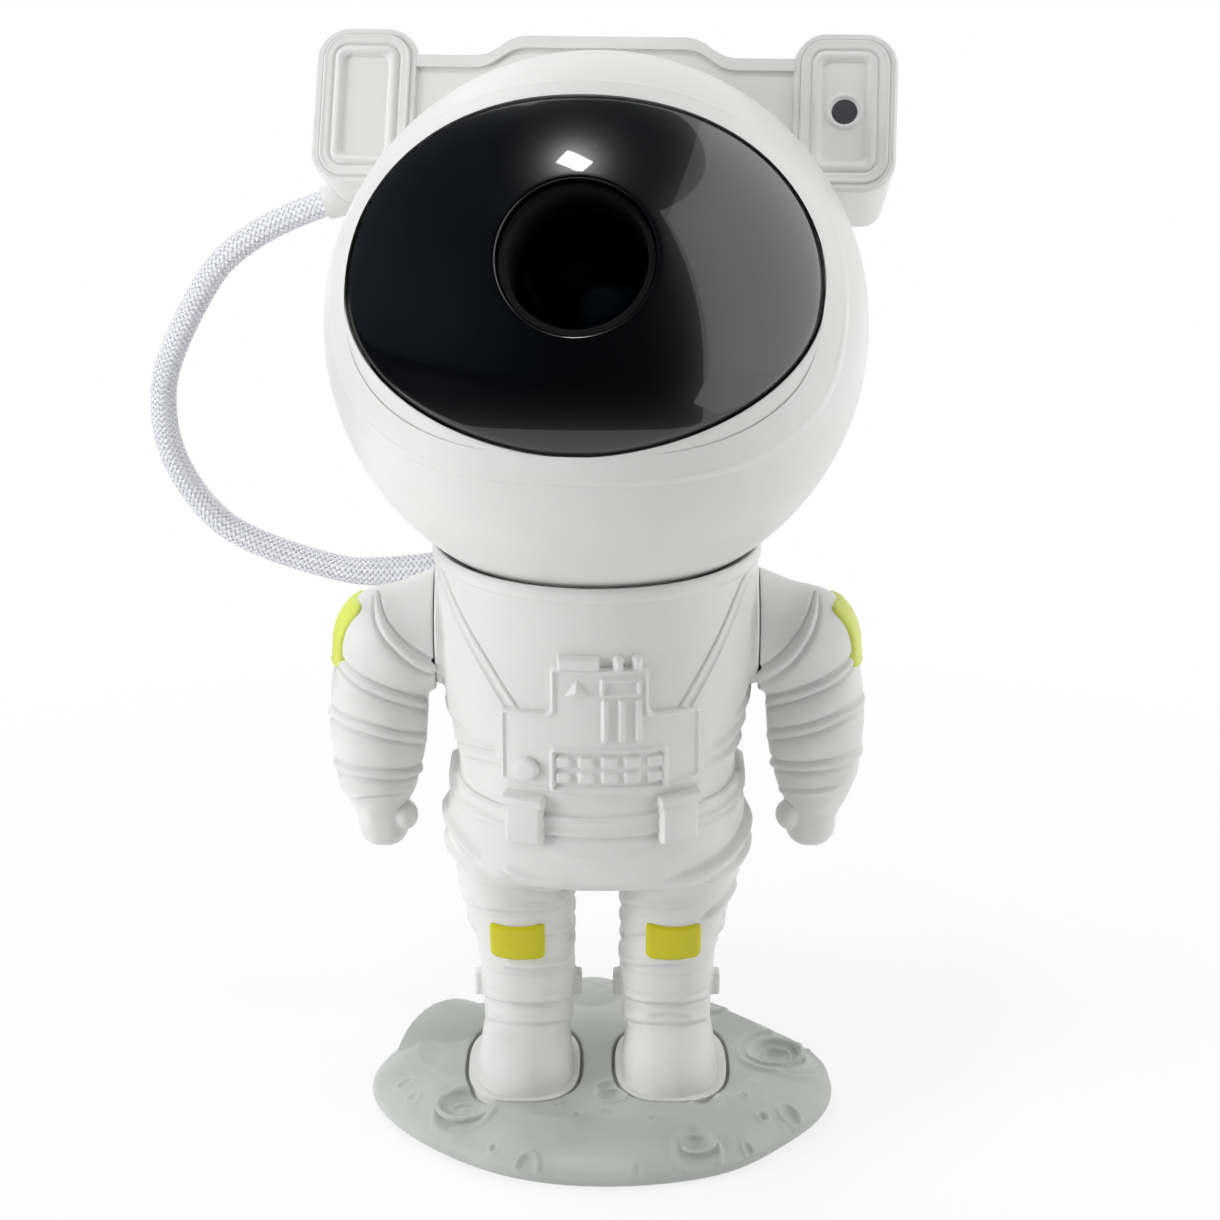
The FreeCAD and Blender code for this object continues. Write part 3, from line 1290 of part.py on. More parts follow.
# ---------------------------------------------------------------- braided hose
# Route of the hose's centre line from the pack, round the left side, to the ear box.
lower_gland = Vector(-s.pack_half_width - s.gland_length - s.hose_play, 33.0, 108.4)
ROUTE = [lower_gland, Vector(-36.0, 32.8, 107.5), Vector(-46.0, 32.3, 107.0), Vector(-54.5, 31.8, 107.8),
         Vector(-74.0, 31.2, 114.7), Vector(-82.2, 31.1, 122.1), Vector(-87.8, 31.0, 132.1),
         Vector(-89.6, 31.1, 141.6), Vector(-88.5, 31.3, 152.3), Vector(-78.8, 31.8, 170.7),
         Vector(-72.2, 31.9, 176.9), Vector(-63.0, 31.7, 182.3), Vector(-54.5, 31.3, 185.4)]
first_joint = (ROUTE[3] + ROUTE[4]) / 2
second_joint = (ROUTE[8] + ROUTE[9]) / 2
STRETCHES = {
    "hose_lower": ROUTE[:4] + [first_joint],
    "hose_middle": [first_joint] + ROUTE[4:9] + [second_joint],
    "hose_upper": [second_joint] + ROUTE[9:],
}


def hose(name, points):
    """A tube along straight runs joined by tangent arcs, each as large as its runs allow."""
    start = points[0]
    edges = []
    for before, corner, after in zip(points, points[1:], points[2:]):
        come = (corner - before).normalize()
        go = (after - corner).normalize()
        half_turn = come.getAngle(go) / 2
        cut = 0.45 * min((corner - before).Length, (after - corner).Length)
        turn = math.degrees(2 * half_turn)
        print(f"{name}: radius {cut / math.tan(half_turn):.1f} mm at a turn of {turn:.0f} degrees")
        arc_start = corner - come * cut
        arc_end = corner + go * cut
        inward = (go - come).normalize()
        centre = corner + inward * cut / math.sin(half_turn)
        middle = centre - inward * cut / math.tan(half_turn)
        edges.append(Part.LineSegment(start, arc_start).toShape())
        edges.append(Part.Arc(arc_start, middle, arc_end).toShape())
        start = arc_end
    edges.append(Part.LineSegment(start, points[-1]).toShape())
    path = Part.Wire(edges)
    circle = Part.makeCircle(s.hose_radius, points[0], points[1] - points[0])
    body = path.makePipeShell([Part.Wire([circle])], True, False)
    expected = math.pi * s.hose_radius ** 2 * path.Length
    if abs(body.Volume - expected) > 0.01 * expected:
        raise RuntimeError(f"{name}: {body.Volume:.0f} mm3, not its section times its length {expected:.0f}")
    print(f"{name}: length {path.Length:.1f} mm")
    return body


def make_lower_gland():
    """Flanged cone on the pack's side, with a spigot through its wall."""
    foot = Vector(-s.pack_half_width, lower_gland.y, lower_gland.z)
    spigot = Part.makeCylinder(0.7 * s.gland_radius, s.pack_wall, foot + X * s.pack_wall, -X)
    flange = Part.makeCylinder(1.15 * s.gland_radius, s.gland_length / 4, foot, -X)
    cone = Part.makeCone(s.gland_radius, s.hose_radius + 0.8, 0.75 * s.gland_length,
                         foot - X * s.gland_length / 4, -X)
    return flange.fuse([spigot, cone])


def make_upper_gland():
    """Stub on the ear box's outer side, in line with the hose's last run."""
    end = ROUTE[-1]
    inward = (end - ROUTE[-2]).normalize()
    stub = Part.makeCone(s.hose_radius + 0.8, s.gland_radius, 2.2 * s.gland_length, end, inward)
    box = ear_outer(-1, fit)
    box.Placement = face_pose
    return stub.cut(box)


make_pack_shell()
solid("backpack_plate", make_pack_plate(), pack_pose)
solid("control_board", make_board(), pack_pose)
inlet_place = Place(Vector(0, s.pack_bottom + 0.3, s.board_back + s.inlet_height / 2), Turn(X, -90))
solid("usb_inlet", make_inlet(), pack_pose * inlet_place)
for name, number in (("power", -1), ("stars", 0), ("nebula", 1)):
    make_button(name, number)
solid("hose_gland_lower", make_lower_gland())
solid("hose_gland_upper", make_upper_gland())
for name, points in STRETCHES.items():
    solid(name, hose(name, points))


# ---------------------------------------------------------------- checks and files
doc.recompute()
failed = [thing.Label for thing in doc.Objects if {"Invalid", "Error"} & set(thing.State)]
if failed:
    raise RuntimeError(f"objects that failed: {failed}")
for label, thing in subparts:
    if thing.Shape.isNull() or not thing.Shape.isValid():
        raise RuntimeError(f"{label} has no valid shape")
    if not thing.Shape.Solids:
        raise RuntimeError(f"{label} has no solid")
os.makedirs("parts", exist_ok=True)
for label, thing in subparts:
    thing.Shape.exportStep(f"parts/{label}.step")
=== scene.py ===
import json
import math

import bpy
import numpy as np
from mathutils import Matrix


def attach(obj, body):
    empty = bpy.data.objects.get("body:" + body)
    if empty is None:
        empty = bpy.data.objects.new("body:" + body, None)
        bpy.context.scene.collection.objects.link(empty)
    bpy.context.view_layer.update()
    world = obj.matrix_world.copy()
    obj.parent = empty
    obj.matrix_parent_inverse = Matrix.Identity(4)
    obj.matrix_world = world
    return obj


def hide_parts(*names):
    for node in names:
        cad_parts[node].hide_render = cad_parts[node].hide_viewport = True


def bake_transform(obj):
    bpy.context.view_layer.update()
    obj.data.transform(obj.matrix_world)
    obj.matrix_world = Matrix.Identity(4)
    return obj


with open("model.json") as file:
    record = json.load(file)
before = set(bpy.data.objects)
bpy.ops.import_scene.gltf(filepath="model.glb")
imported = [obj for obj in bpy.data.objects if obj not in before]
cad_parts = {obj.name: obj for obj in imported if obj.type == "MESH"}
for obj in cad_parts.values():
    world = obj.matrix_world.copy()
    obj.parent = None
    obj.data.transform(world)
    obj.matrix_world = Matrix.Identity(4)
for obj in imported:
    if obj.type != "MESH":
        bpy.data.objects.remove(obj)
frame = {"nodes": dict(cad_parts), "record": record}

import openvdb
from mathutils import Matrix, Vector

bpy.context.scene.view_settings.view_transform = "Standard"
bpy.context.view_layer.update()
MM = 0.001
FIGURE = "base_and_figure"
SIDES = (("left", -1), ("right", 1))
HEAD_CENTRE = Vector((0, 0, 167.0998))
HEAD_TURN = math.radians(-5)
HEAD_TILT = math.radians(-28)
CAMERA_PLACE = (0.0026, -0.558, 0.295)
CAMERA_DIP = 18.4  # degrees under the level
CAMERA_LENS = 87.05
AMBIENT = 0.31
MIRROR_ONLY = ("camera", "diffuse", "shadow")


# ---- camera
def link(name, data):
    """A new object of the scene that holds the data."""
    thing = bpy.data.objects.new(name, data)
    bpy.context.scene.collection.objects.link(thing)
    return thing


def add_camera():
    """Camera in front and above, as high as a person's eye over a table."""
    data = bpy.data.cameras.new("camera")
    data.sensor_fit = "HORIZONTAL"
    data.sensor_width = 36
    data.lens = CAMERA_LENS
    camera = link("camera", data)
    camera.location = CAMERA_PLACE
    camera.rotation_euler = (math.radians(90 - CAMERA_DIP), 0, 0)
    bpy.context.scene.camera = camera


add_camera()


# ---- node helpers for materials
class Nodes:
    """Short calls that add shader nodes to one material or world."""

    def __init__(self, name, holders="materials"):
        self.owner = getattr(bpy.data, holders).new(name)
        self.owner.use_nodes = True
        self.tree = self.owner.node_tree
        self.shader = self.tree.nodes.get("Principled BSDF")

    def add(self, kind, links=None, **settings):
        node = self.tree.nodes.new("ShaderNode" + kind)
        for key, value in settings.items():
            setattr(node, key, value)
        for socket, value in (links or {}).items():
            self.set(node, socket, value)
        return node

    def set(self, node, socket, value):
        if isinstance(value, bpy.types.NodeSocket):
            self.tree.links.new(value, node.inputs[socket])
        else:
            node.inputs[socket].default_value = value

    def place(self):
        """The object's own coordinates, in metres."""
        return self.add("TexCoord").outputs["Object"]

    def noise(self, scale, detail=3.0, rough=0.55, where=None, **more):
        links = {"Vector": where or self.place(), "Scale": scale, "Detail": detail, "Roughness": rough}
        links.update(more)
        return self.add("TexNoise", links).outputs["Fac"]

    def remap(self, value, low, high, to_low, to_high):
        node = self.add("MapRange", {0: value, 1: low, 2: high, 3: to_low, 4: to_high})
        return node.outputs[0]

    def blend(self, share, first, second):
        node = self.add("Mix", {0: share}, data_type="RGBA")
        self.set(node, 6, first)
        self.set(node, 7, second)
        return node.outputs[2]

    def math(self, kind, first, second=0.0):
        return self.add("Math", {0: first, 1: second}, operation=kind).outputs[0]

    def bump(self, height, strength, distance, after=None):
        links = {"Height": height, "Strength": strength, "Distance": distance}
        if after:
            links["Normal"] = after
        return self.add("Bump", links).outputs["Normal"]

    def watched(self):
        """1 for what the camera sees directly, in a mirror or through glass, and else 0."""
        rays = self.add("LightPath").outputs
        indirect = self.math("MAXIMUM", rays["Is Glossy Ray"], rays["Is Transmission Ray"])
        return self.math("MAXIMUM", rays["Is Camera Ray"], indirect)

    def show(self, surface):
        self.set(self.tree.nodes["Material Output"], "Surface", surface.outputs[0])
        return self.owner

    def finish(self, **sockets):
        names = {"color": "Base Color", "rough": "Roughness", "normal": "Normal", "metal": "Metallic", "ior": "IOR",
                 "coat": "Coat Weight", "coat_rough": "Coat Roughness", "transmission": "Transmission Weight",
                 "specular": "Specular IOR Level"}
        for key, value in sockets.items():
            self.set(self.shader, names[key], value)
        return self.owner


def rgb(red, green, blue):
    return (red, green, blue, 1.0)


def moulded(name, light, dark, rough, grain=1.0):
    """Satin moulded plastic: a faint cloudiness, spark-eroded grain and a few handling scuffs."""
    n = Nodes(name)
    cloud = n.noise(55, 4)
    fine = n.noise(2600, 2, 0.5)
    scuff = n.noise(420, 5, 0.7)
    color = n.blend(n.remap(cloud, 0.3, 0.7, 0.0, 1.0), rgb(*dark), rgb(*light))
    wear = n.math("ADD", scuff, n.math("MULTIPLY", fine, 0.35))
    roughness = n.remap(wear, 0.45, 0.95, rough - 0.05, rough + 0.08)
    normal = n.bump(fine, 0.12 * grain, 0.00006, n.bump(cloud, 0.05, 0.0004))
    return n.finish(color=color, rough=roughness, normal=normal)


def metal(name, light, dark, rough, stretch=(1, 1, 18)):
    """Machined or pressed metal with fine drawn lines and a little tarnish."""
    n = Nodes(name)
    lines = n.noise(900, 3, 0.6, n.add("Mapping", {0: n.place(), 3: stretch}).outputs[0])
    tarnish = n.noise(260, 4, 0.6)
    color = n.blend(n.remap(tarnish, 0.35, 0.7, 0, 1), rgb(*light), rgb(*dark))
    return n.finish(color=color, rough=n.remap(lines, 0.3, 0.7, rough - 0.06, rough + 0.1), metal=1.0,
                    normal=n.bump(lines, 0.12, 0.00008))


def clear(name, tint, light, ior, rough=0.02):
    """Clear plastic in the given colour, with faint flow marks; the lens's near-black colour is painted shade."""
    n = Nodes(name)
    flow = n.noise(140, 2, 0.4)
    return n.finish(color=n.blend(flow, rgb(*tint), rgb(*light)), transmission=1.0, ior=ior,
                    rough=n.remap(flow, 0.3, 0.7, rough, rough + 0.03), normal=n.bump(flow, 0.04, 0.0002))


LOOKS = {
    moulded: {
        "suit_white": ((0.80, 0.80, 0.785), (0.765, 0.765, 0.75), 0.36),
        "patch_pale": ((0.74, 0.80, 0.16), (0.66, 0.73, 0.12), 0.4),
        "moon_grey": ((0.54, 0.56, 0.53), (0.455, 0.475, 0.45), 0.36, 2.0),
        "patch_yellow": ((0.68, 0.63, 0.008), (0.60, 0.555, 0.006), 0.4),
        "inner_black": ((0.0045, 0.0045, 0.005), (0.003, 0.003, 0.0033), 0.85, 2.0),
        "window_smoke": ((0.085, 0.085, 0.098), (0.06, 0.06, 0.07), 0.16, 0.3),
        "board_green": ((0.03, 0.17, 0.07), (0.02, 0.12, 0.05), 0.35),
        "pad_rubber": ((0.035, 0.035, 0.036), (0.022, 0.022, 0.023), 0.75, 3.0),
        "ring_plastic": ((0.70, 0.70, 0.69), (0.64, 0.64, 0.63), 0.45),
        "hose_braid": ((0.88, 0.88, 0.93), (0.82, 0.82, 0.88), 0.5),
        "hose_core": ((0.80, 0.80, 0.87), (0.72, 0.72, 0.79), 0.7),
    },
    clear: {
        # The lens is painted near black: painted shade of the deep lens hole
        "lens_clear": ((0.05, 0.07, 0.10), (0.09, 0.11, 0.15), 1.2),
        "disc_blue": ((0.10, 0.28, 0.75), (0.2, 0.4, 0.85), 1.49, 0.05),
    },
    metal: {
        "metal_bright": ((0.76, 0.77, 0.78), (0.62, 0.62, 0.63), 0.32),
        "steel": ((0.66, 0.66, 0.66), (0.50, 0.49, 0.48), 0.28),
        "brass": ((0.74, 0.56, 0.24), (0.58, 0.42, 0.17), 0.3),
    },
}
MATERIALS = {name: make(name, *look) for make, looks in LOOKS.items() for name, look in looks.items()}


def gloss_black():
    """Polished black visor with the faintest waviness, dust and a wiped film that gives lights a halo."""
    n = Nodes("visor_black")
    wave = n.noise(45, 2, 0.4)
    dust = n.noise(1800, 4, 0.7)
    color = n.blend(n.remap(dust, 0.62, 0.8, 0, 1), rgb(0.0012, 0.0013, 0.0018), rgb(0.005, 0.005, 0.006))
    return n.finish(color=color, rough=n.remap(dust, 0.4, 0.75, 0.03, 0.055), normal=n.bump(wave, 0.02, 0.0004),
                    ior=1.5, coat=0.9, coat_rough=0.3)


MATERIALS["visor_black"] = gloss_black()

SLOTS = {entry["node"]: entry["material_slot"] for entry in frame["record"]["subparts"]}
for label, node in frame["nodes"].items():
    node.data.materials.clear()
    node.data.materials.append(MATERIALS["window_smoke" if label == "laser_window" else SLOTS[label]])


# ---- stage
def stage_mesh(name, points, faces, material, hidden_from=()):
    """A thing of the studio that isn't part of the object, hidden from some kinds of ray."""
    mesh = bpy.data.meshes.new(name)
    mesh.from_pydata(points, [], faces)
    mesh.materials.append(material)
    thing = link(name, mesh)
    for rays in hidden_from:
        setattr(thing, "visible_" + rays, False)
    return thing


def add_stage():
    """Pale floor that the camera sees as white but that keeps the soft shadow under the base."""
    n = Nodes("floor")
    n.finish(color=n.blend(n.noise(30, 3), rgb(0.86, 0.86, 0.86), rgb(0.88, 0.88, 0.88)), rough=0.9, specular=0.1)
    glow = n.add("Emission", {"Color": rgb(1, 1, 1), "Strength": 1.0})
    reach = n.add("VectorMath", {0: n.place()}, operation="LENGTH").outputs["Value"]
    share = n.math("MULTIPLY", n.watched(), n.remap(reach, 0.06, 0.3, 0.82, 1.0))
    n.show(n.add("MixShader", {0: share, 1: n.shader.outputs[0], 2: glow.outputs[0]}))
    floor = stage_mesh("floor", [(-4, -4, 0), (4, -4, 0), (4, 4, 0), (-4, 4, 0)], [(0, 1, 2, 3)], n.owner)
    floor.location.z = -0.00002

    world = Nodes("studio", "worlds")
    bpy.context.scene.world = world.owner
    world.tree.nodes.clear()
    dim, white = [world.add("Background", {0: rgb(1, 1, 1), 1: power}).outputs[0] for power in (AMBIENT, 1.0)]
    world.add("OutputWorld", {0: world.add("MixShader", {0: world.watched(), 1: dim, 2: white}).outputs[0]})


def add_lamp(name, place, aim, size, power, mirrored=True):
    """Softbox; the ones that aren't mirrored give light without a highlight on the visor."""
    data = bpy.data.lights.new(name, "AREA")
    data.shape = "RECTANGLE"
    data.size, data.size_y = size
    data.energy = power
    lamp = link(name, data)
    lamp.location = place
    lamp.rotation_euler = (Vector(aim) - Vector(place)).to_track_quat("-Z", "Y").to_euler()
    lamp.visible_camera = False
    lamp.visible_glossy = mirrored


def add_cloth(name, rings, sweep, light, dark, hidden_from=MIRROR_ONLY, painted_lit_side=None):
    """Cloth of the studio through (radius, height) rings, swept over (first, last, count) degrees."""
    n = Nodes(name)
    color = n.blend(n.noise(300, 3), rgb(*dark), rgb(*light))
    # Painted light: toward its left the cloth turns to this lighter, bluer colour, a painted reflection of a lit side
    # of the studio in the visor
    if painted_lit_side:
        across = n.add("SeparateXYZ", {0: n.place()}).outputs[0]
        color = n.blend(n.remap(across, -1.15, -0.35, 1, 0), color, rgb(*painted_lit_side))
    angles = np.radians(np.linspace(*sweep))
    points = [(radius * math.sin(a), -radius * math.cos(a), z) for a in angles for radius, z in rings]
    stage_mesh(name, points, grid_quads(len(angles), len(rings)).tolist(),
               n.finish(color=color, rough=0.95, specular=0.05), hidden_from)


def add_card(name, corners, strength):
    """Glowing card on the table beside the object, seen only as a reflection."""
    n = Nodes(name)
    paper = n.blend(n.noise(20, 2), rgb(0.96, 0.97, 1), rgb(1, 1, 1))
    card = n.show(n.add("Emission", {"Color": paper, "Strength": strength}))
    stage_mesh(name, [(x, y, 0.002) for x, y in corners], [tuple(range(len(corners)))], card,
               MIRROR_ONLY + ("transmission",))


def add_set():
    """Screens that the polished visor mirrors, and the softboxes."""
    open_front, all_round = (-150, 43, 65), (-180, 180, 97)
    # The screen's lighter, bluer left side is a painted reflection for the visor
    add_cloth("screen", [(1.2, 0.0), (1.2, 1.9)], open_front, (0.020, 0.021, 0.027), (0.012, 0.012, 0.015),
              ("camera",), (0.10, 0.12, 0.165))
    add_cloth("table_cloth", [(0.33, 0.001), (1.2, 0.001)], open_front, (0.02, 0.02, 0.025), (0.01, 0.01, 0.013))
    add_cloth("ceiling_cloth", [(0.02, 1.9), (1.2, 1.9)], all_round, (0.05, 0.056, 0.07), (0.04, 0.044, 0.055))
    add_card("floor_card", [(0.8, -0.8), (0.32, -0.40), (0.26, 0.1), (0.26, 0.95), (0.8, 0.95)], 1.5)
    add_lamp("right_panel", (0.8, 0.075, 0.8), (0, 0.075, 0.8), (1.75, 1.6), 5.4)
    add_lamp("top_spot", (-0.11, -0.13, 1.05), (0, 0, 0.15), (0.16, 0.1), 2.0)
    add_lamp("left_panel", (-0.75, -0.27, 0.28), (0, 0, 0.13), (0.4, 0.5), 4.2, False)
    add_lamp("right_low", (0.62, -0.30, 0.15), (0, 0, 0.06), (0.3, 0.3), 0.6, False)
    add_lamp("front_fill", (-0.35, -0.55, 1.0), (0, 0, 0.13), (0.6, 0.5), 2.1, False)
    add_lamp("back_panel", (-0.35, 0.75, 0.7), (0, 0, 0.13), (0.5, 0.4), 3.0, False)


# ---- sculpting helpers, in millimetres
class Field:
    """Signed distances on a regular grid of points: negative inside the form."""

    def __init__(self, low, high, step=0.45):
        self.low = np.array(low, float)
        self.step = step
        counts = np.ceil((np.array(high) - self.low) / step).astype(int) + 1
        axes = [self.low[i] + step * np.arange(counts[i]) for i in range(3)]
        self.x = axes[0].astype(np.float32)[:, None, None]
        self.y = axes[1].astype(np.float32)[None, :, None]
        self.z = axes[2].astype(np.float32)[None, None, :]
        self.axes = (self.x, self.y, self.z)
        self.far = np.full(counts, 50, np.float32)

    def mesh(self, distance):
        """Vertices in millimetres and quads of the surface at distance 0."""
        grid = openvdb.FloatGrid()
        grid.copyFromArray(np.ascontiguousarray(self.far * 0 + distance, np.float32))
        points, quads = grid.convertToQuads(0.0)
        points = points * self.step + self.low
        corners = points[quads]
        volume = np.einsum("ij,ij->i", corners[:, 0], np.cross(corners[:, 2] - corners[:, 0],
                                                               corners[:, 3] - corners[:, 1])).sum()
        return points, quads if volume > 0 else quads[:, ::-1]


def unit(value):
    """The value, kept from 0 to 1."""
    return np.clip(value, 0, 1)


def bell(distance, width):
    """A rise to 1 at distance 0."""
    return np.exp(-(distance / width) ** 2)


def join(first, second, soft=1.0):
    """Union of two forms with a soft fillet between them."""
    share = unit(0.5 + 0.5 * (second - first) / soft)
    return second + (first - second) * share - soft * share * (1 - share)


def overlap(first, second, soft):
    """What two forms share, with a soft edge."""
    return -join(-first, -second, soft)


def carve(form, tool, soft=0.6):
    """Form less the tool, with a soft edge."""
    return -join(-form, tool, soft)


def level_table(levels, count=260, span=23):
    """Smoothed lists of height, centres, half sizes and power from a column's levels."""
    table = np.array(sorted(levels), float)
    dense = np.linspace(table[0, 0], table[-1, 0], count)
    kernel = np.hanning(span)
    rows = [dense]
    for number in range(1, 6):
        values = np.interp(dense, table[:, 0], table[:, number])
        padded = np.pad(values, span // 2, mode="reflect", reflect_type="odd")
        rows.append(np.convolve(padded, kernel / kernel.sum(), "valid"))
    return np.array(rows)


def section(table, height):
    """Centre x and y, half x and y, and power of a column at a height."""
    return [np.interp(height, table[0], row) for row in table[1:]]


def column(field, levels):
    """Form whose level sections are superellipses: (z, centre x, centre y, half x, half y, power)."""
    table = level_table(levels)
    rows = [row.astype(np.float32)[None, None, :] for row in section(table, field.z[0, 0])]
    centre_x, centre_y, half_x, half_y, power = rows
    ratio = np.abs((field.x - centre_x) / half_x) ** power + np.abs((field.y - centre_y) / half_y) ** power
    body = (ratio ** (1 / power) - 1) * np.minimum(half_x, half_y)
    ends = np.maximum(table[0, 0] - field.z, field.z - table[0, -1])
    return np.maximum(body, ends)


def on_column(table, degrees, height, out):
    """Points on a column's surface at an angle round from the front, moved outward."""
    degrees, height, out = np.broadcast_arrays(np.asarray(degrees, float), height, out)
    centre_x, centre_y, half_x, half_y, power = section(table, height)
    angle = np.radians(degrees)
    across, along = np.sin(angle), -np.cos(angle)
    reach = (np.abs(across / half_x) ** power + np.abs(along / half_y) ** power) ** (-1 / power)
    return np.stack([centre_x + across * (reach + out), centre_y + along * (reach + out), height], -1)


def rounded_box(field, centre, half, radius):
    """Box with rounded edges."""
    parts = [np.abs(axis - c) - h + radius for axis, c, h in zip(field.axes, centre, half)]
    outside = np.sqrt(sum(np.maximum(part, 0) ** 2 for part in parts))
    inside = np.minimum(np.maximum(np.maximum(parts[0], parts[1]), parts[2]), 0)
    return outside + inside - radius


def ellipsoid(field, centre, radii):
    """Ellipsoid whose axes lie along the grid."""
    parts = [((axis - c) / r) ** 2 for axis, c, r in zip(field.axes, centre, radii)]
    return (np.sqrt(parts[0] + parts[1] + parts[2]) - 1) * min(radii)


def rod(field, first, second, radius):
    """Round rod between two points."""
    a, b = np.array(first, float), np.array(second, float)
    along = b - a
    offset = [axis - a[i] for i, axis in enumerate(field.axes)]
    share = unit((offset[0] * along[0] + offset[1] * along[1] + offset[2] * along[2]) / along.dot(along))
    parts = [axis - a[i] - share * along[i] for i, axis in enumerate(field.axes)]
    return np.sqrt(parts[0] ** 2 + parts[1] ** 2 + parts[2] ** 2) - radius


def smooth_line(points, count=28):
    """A Catmull-Rom line through points of a plane."""
    p = np.array(points, float)
    p = np.vstack([2 * p[0] - p[1], p, 2 * p[-1] - p[-2]])
    spots = np.linspace(0, len(p) - 3.0001, count)
    i = spots.astype(int)
    t = (spots - i)[:, None]
    a, b, c, d = p[i], p[i + 1], p[i + 2], p[i + 3]
    return 0.5 * (2 * b + (c - a) * t + (2 * a - 5 * b + 4 * c - d) * t ** 2 + (3 * b - a - 3 * c + d) * t ** 3)


DEEPEST, HIGHEST = -1.3, 1.4  # of a skin's push


class Skin:
    """A mesh whose points are pushed along their normals to draw seams, folds and reliefs."""

    def __init__(self, points, quads):
        self.points = np.array(points, float)
        self.quads = quads
        p = self.points
        face = np.cross(p[quads[:, 2]] - p[quads[:, 0]], p[quads[:, 3]] - p[quads[:, 1]])
        self.normals = self.spread(face)
        self.normals /= np.linalg.norm(self.normals, axis=1)[:, None] + 1e-12
        self.push = np.zeros(len(p))

    def spread(self, values):
        """Sum of the faces' values at each point."""
        total = np.zeros((len(self.points), values.shape[1]))
        for corner in range(4):
            for axis in range(values.shape[1]):
                total[:, axis] += np.bincount(self.quads[:, corner], values[:, axis], len(self.points))
        return total

    def around(self, centre, radius, low=-1e9, high=1e9, side=0):
        """Chooses the limb that the next lines are drawn on: degrees round its axis, and height."""
        p = self.points
        angle = np.arctan2(p[:, 0] - centre[0], centre[1] - p[:, 1])
        self.radius = radius
        self.chart = np.column_stack([angle * radius, p[:, 2]])
        facing = self.normals[:, 0] * np.sin(angle) - self.normals[:, 1] * np.cos(angle)
        self.outer = (facing > 0.15) & (p[:, 2] > low) & (p[:, 2] < high) & (p[:, 0] * side >= 0)
        return self

    def near(self, line, reach):
        """Points near a line: which, signed distance (positive below it) and share along it."""
        route = smooth_line([(math.radians(a) * self.radius, z) for a, z in line])
        low, high = route.min(0) - reach, route.max(0) + reach
        wrap = 2 * math.pi * self.radius
        chart = self.chart.copy()
        middle = (low[0] + high[0]) / 2
        chart[:, 0] = (chart[:, 0] - middle + wrap / 2) % wrap + middle - wrap / 2
        chosen = np.flatnonzero(self.outer & (chart > low).all(1) & (chart < high).all(1))
        spots = chart[chosen]
        best = np.full(len(chosen), 1e9)
        side = np.zeros(len(chosen))
        share = np.zeros(len(chosen))
        for i in range(len(route) - 1):
            step = route[i + 1] - route[i]
            offset = spots - route[i]
            t = unit(offset @ step / step.dot(step))
            gap = offset - t[:, None] * step
            distance = np.hypot(gap[:, 0], gap[:, 1])
            closer = distance < best
            best[closer] = distance[closer]
            turn = step[0] * offset[:, 1] - step[1] * offset[:, 0]
            side[closer] = np.where(turn[closer] < 0, 1, -1)
            share[closer] = (i + t[closer]) / (len(route) - 1)
        return chosen, best * side, share

    def draw(self, line, profile, reach, fade):
        chosen, d, share = self.near(line, reach)
        ends = unit(np.minimum(share, 1 - share) / fade) if fade else 1
        self.push[chosen] += profile(d) * ends * ends * (3 - 2 * ends)
        return self

    def fold(self, line, depth=0.5, width=1.0, lip=0.5, fade=0.22):
        """A fold of cloth: a groove with a full lip above it and a hollow below."""
        def profile(d):
            t = d / width
            shape = -depth * bell(t, 0.55) + lip * bell(t + 1.35, 1.0)
            return shape - 0.35 * lip * bell(t - 2.0, 1.4)
        return self.draw(line, profile, 4 * width, fade)

    def groove(self, line, depth=0.35, width=0.45, fade=0.08):
        return self.draw(line, lambda d: -depth * bell(d, width), 4 * width, fade)

    def welt(self, line, height=0.35, width=1.5, depth=0.3, fade=0.12):
        """A corded seam: a narrow raised band between two fine grooves."""
        def profile(d):
            edge = np.abs(d) - width / 2
            return height * unit(0.5 - edge / 0.5) - depth * bell(edge - 0.4, 0.4)
        return self.draw(line, profile, 2.5 * width, fade)

    def shape(self, rounds=1):
        """The points after the push, which is first evened out over the mesh."""
        push = np.clip(self.push, DEEPEST, HIGHEST)[:, None]
        count = self.spread(np.ones((len(self.quads), 1)))
        for _ in range(rounds):
            even = self.spread(push[self.quads].mean(1)) / np.maximum(count, 1)
            push = 0.5 * push + 0.5 * even
        return self.points + self.normals * push


def plane_box(x, z, left, right, low, high, radius):
    """Signed distance to a rounded rectangle drawn on the chest."""
    dx = np.abs(x - (left + right) / 2) - (right - left) / 2 + radius
    dz = np.abs(z - (low + high) / 2) - (high - low) / 2 + radius
    return np.hypot(np.maximum(dx, 0), np.maximum(dz, 0)) + np.minimum(np.maximum(dx, dz), 0) - radius


def step_up(distance, height, slope=0.45):
    """Height of a relief whose outline is at distance 0, with soft shoulders."""
    share = unit(0.5 - distance / slope / 2)
    return height * share * share * (3 - 2 * share)


def add_mesh(name, points, faces, slot, body, nodes=()):
    """A finished piece from points in millimetres."""
    mesh = bpy.data.meshes.new(name)
    points = np.asarray(points, float) * MM
    faces = np.asarray(faces)
    mesh.vertices.add(len(points))
    mesh.vertices.foreach_set("co", points.ravel())
    mesh.loops.add(faces.size)
    mesh.loops.foreach_set("vertex_index", faces.ravel())
    mesh.polygons.add(len(faces))
    mesh.polygons.foreach_set("loop_start", np.arange(0, faces.size, faces.shape[1]))
    mesh.update(calc_edges=True)
    mesh.validate()
    mesh.shade_smooth()
    mesh.materials.append(MATERIALS[slot])
    piece = link(name, mesh)
    if body:
        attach(piece, body)
    if nodes:
        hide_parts(*nodes)
    return piece


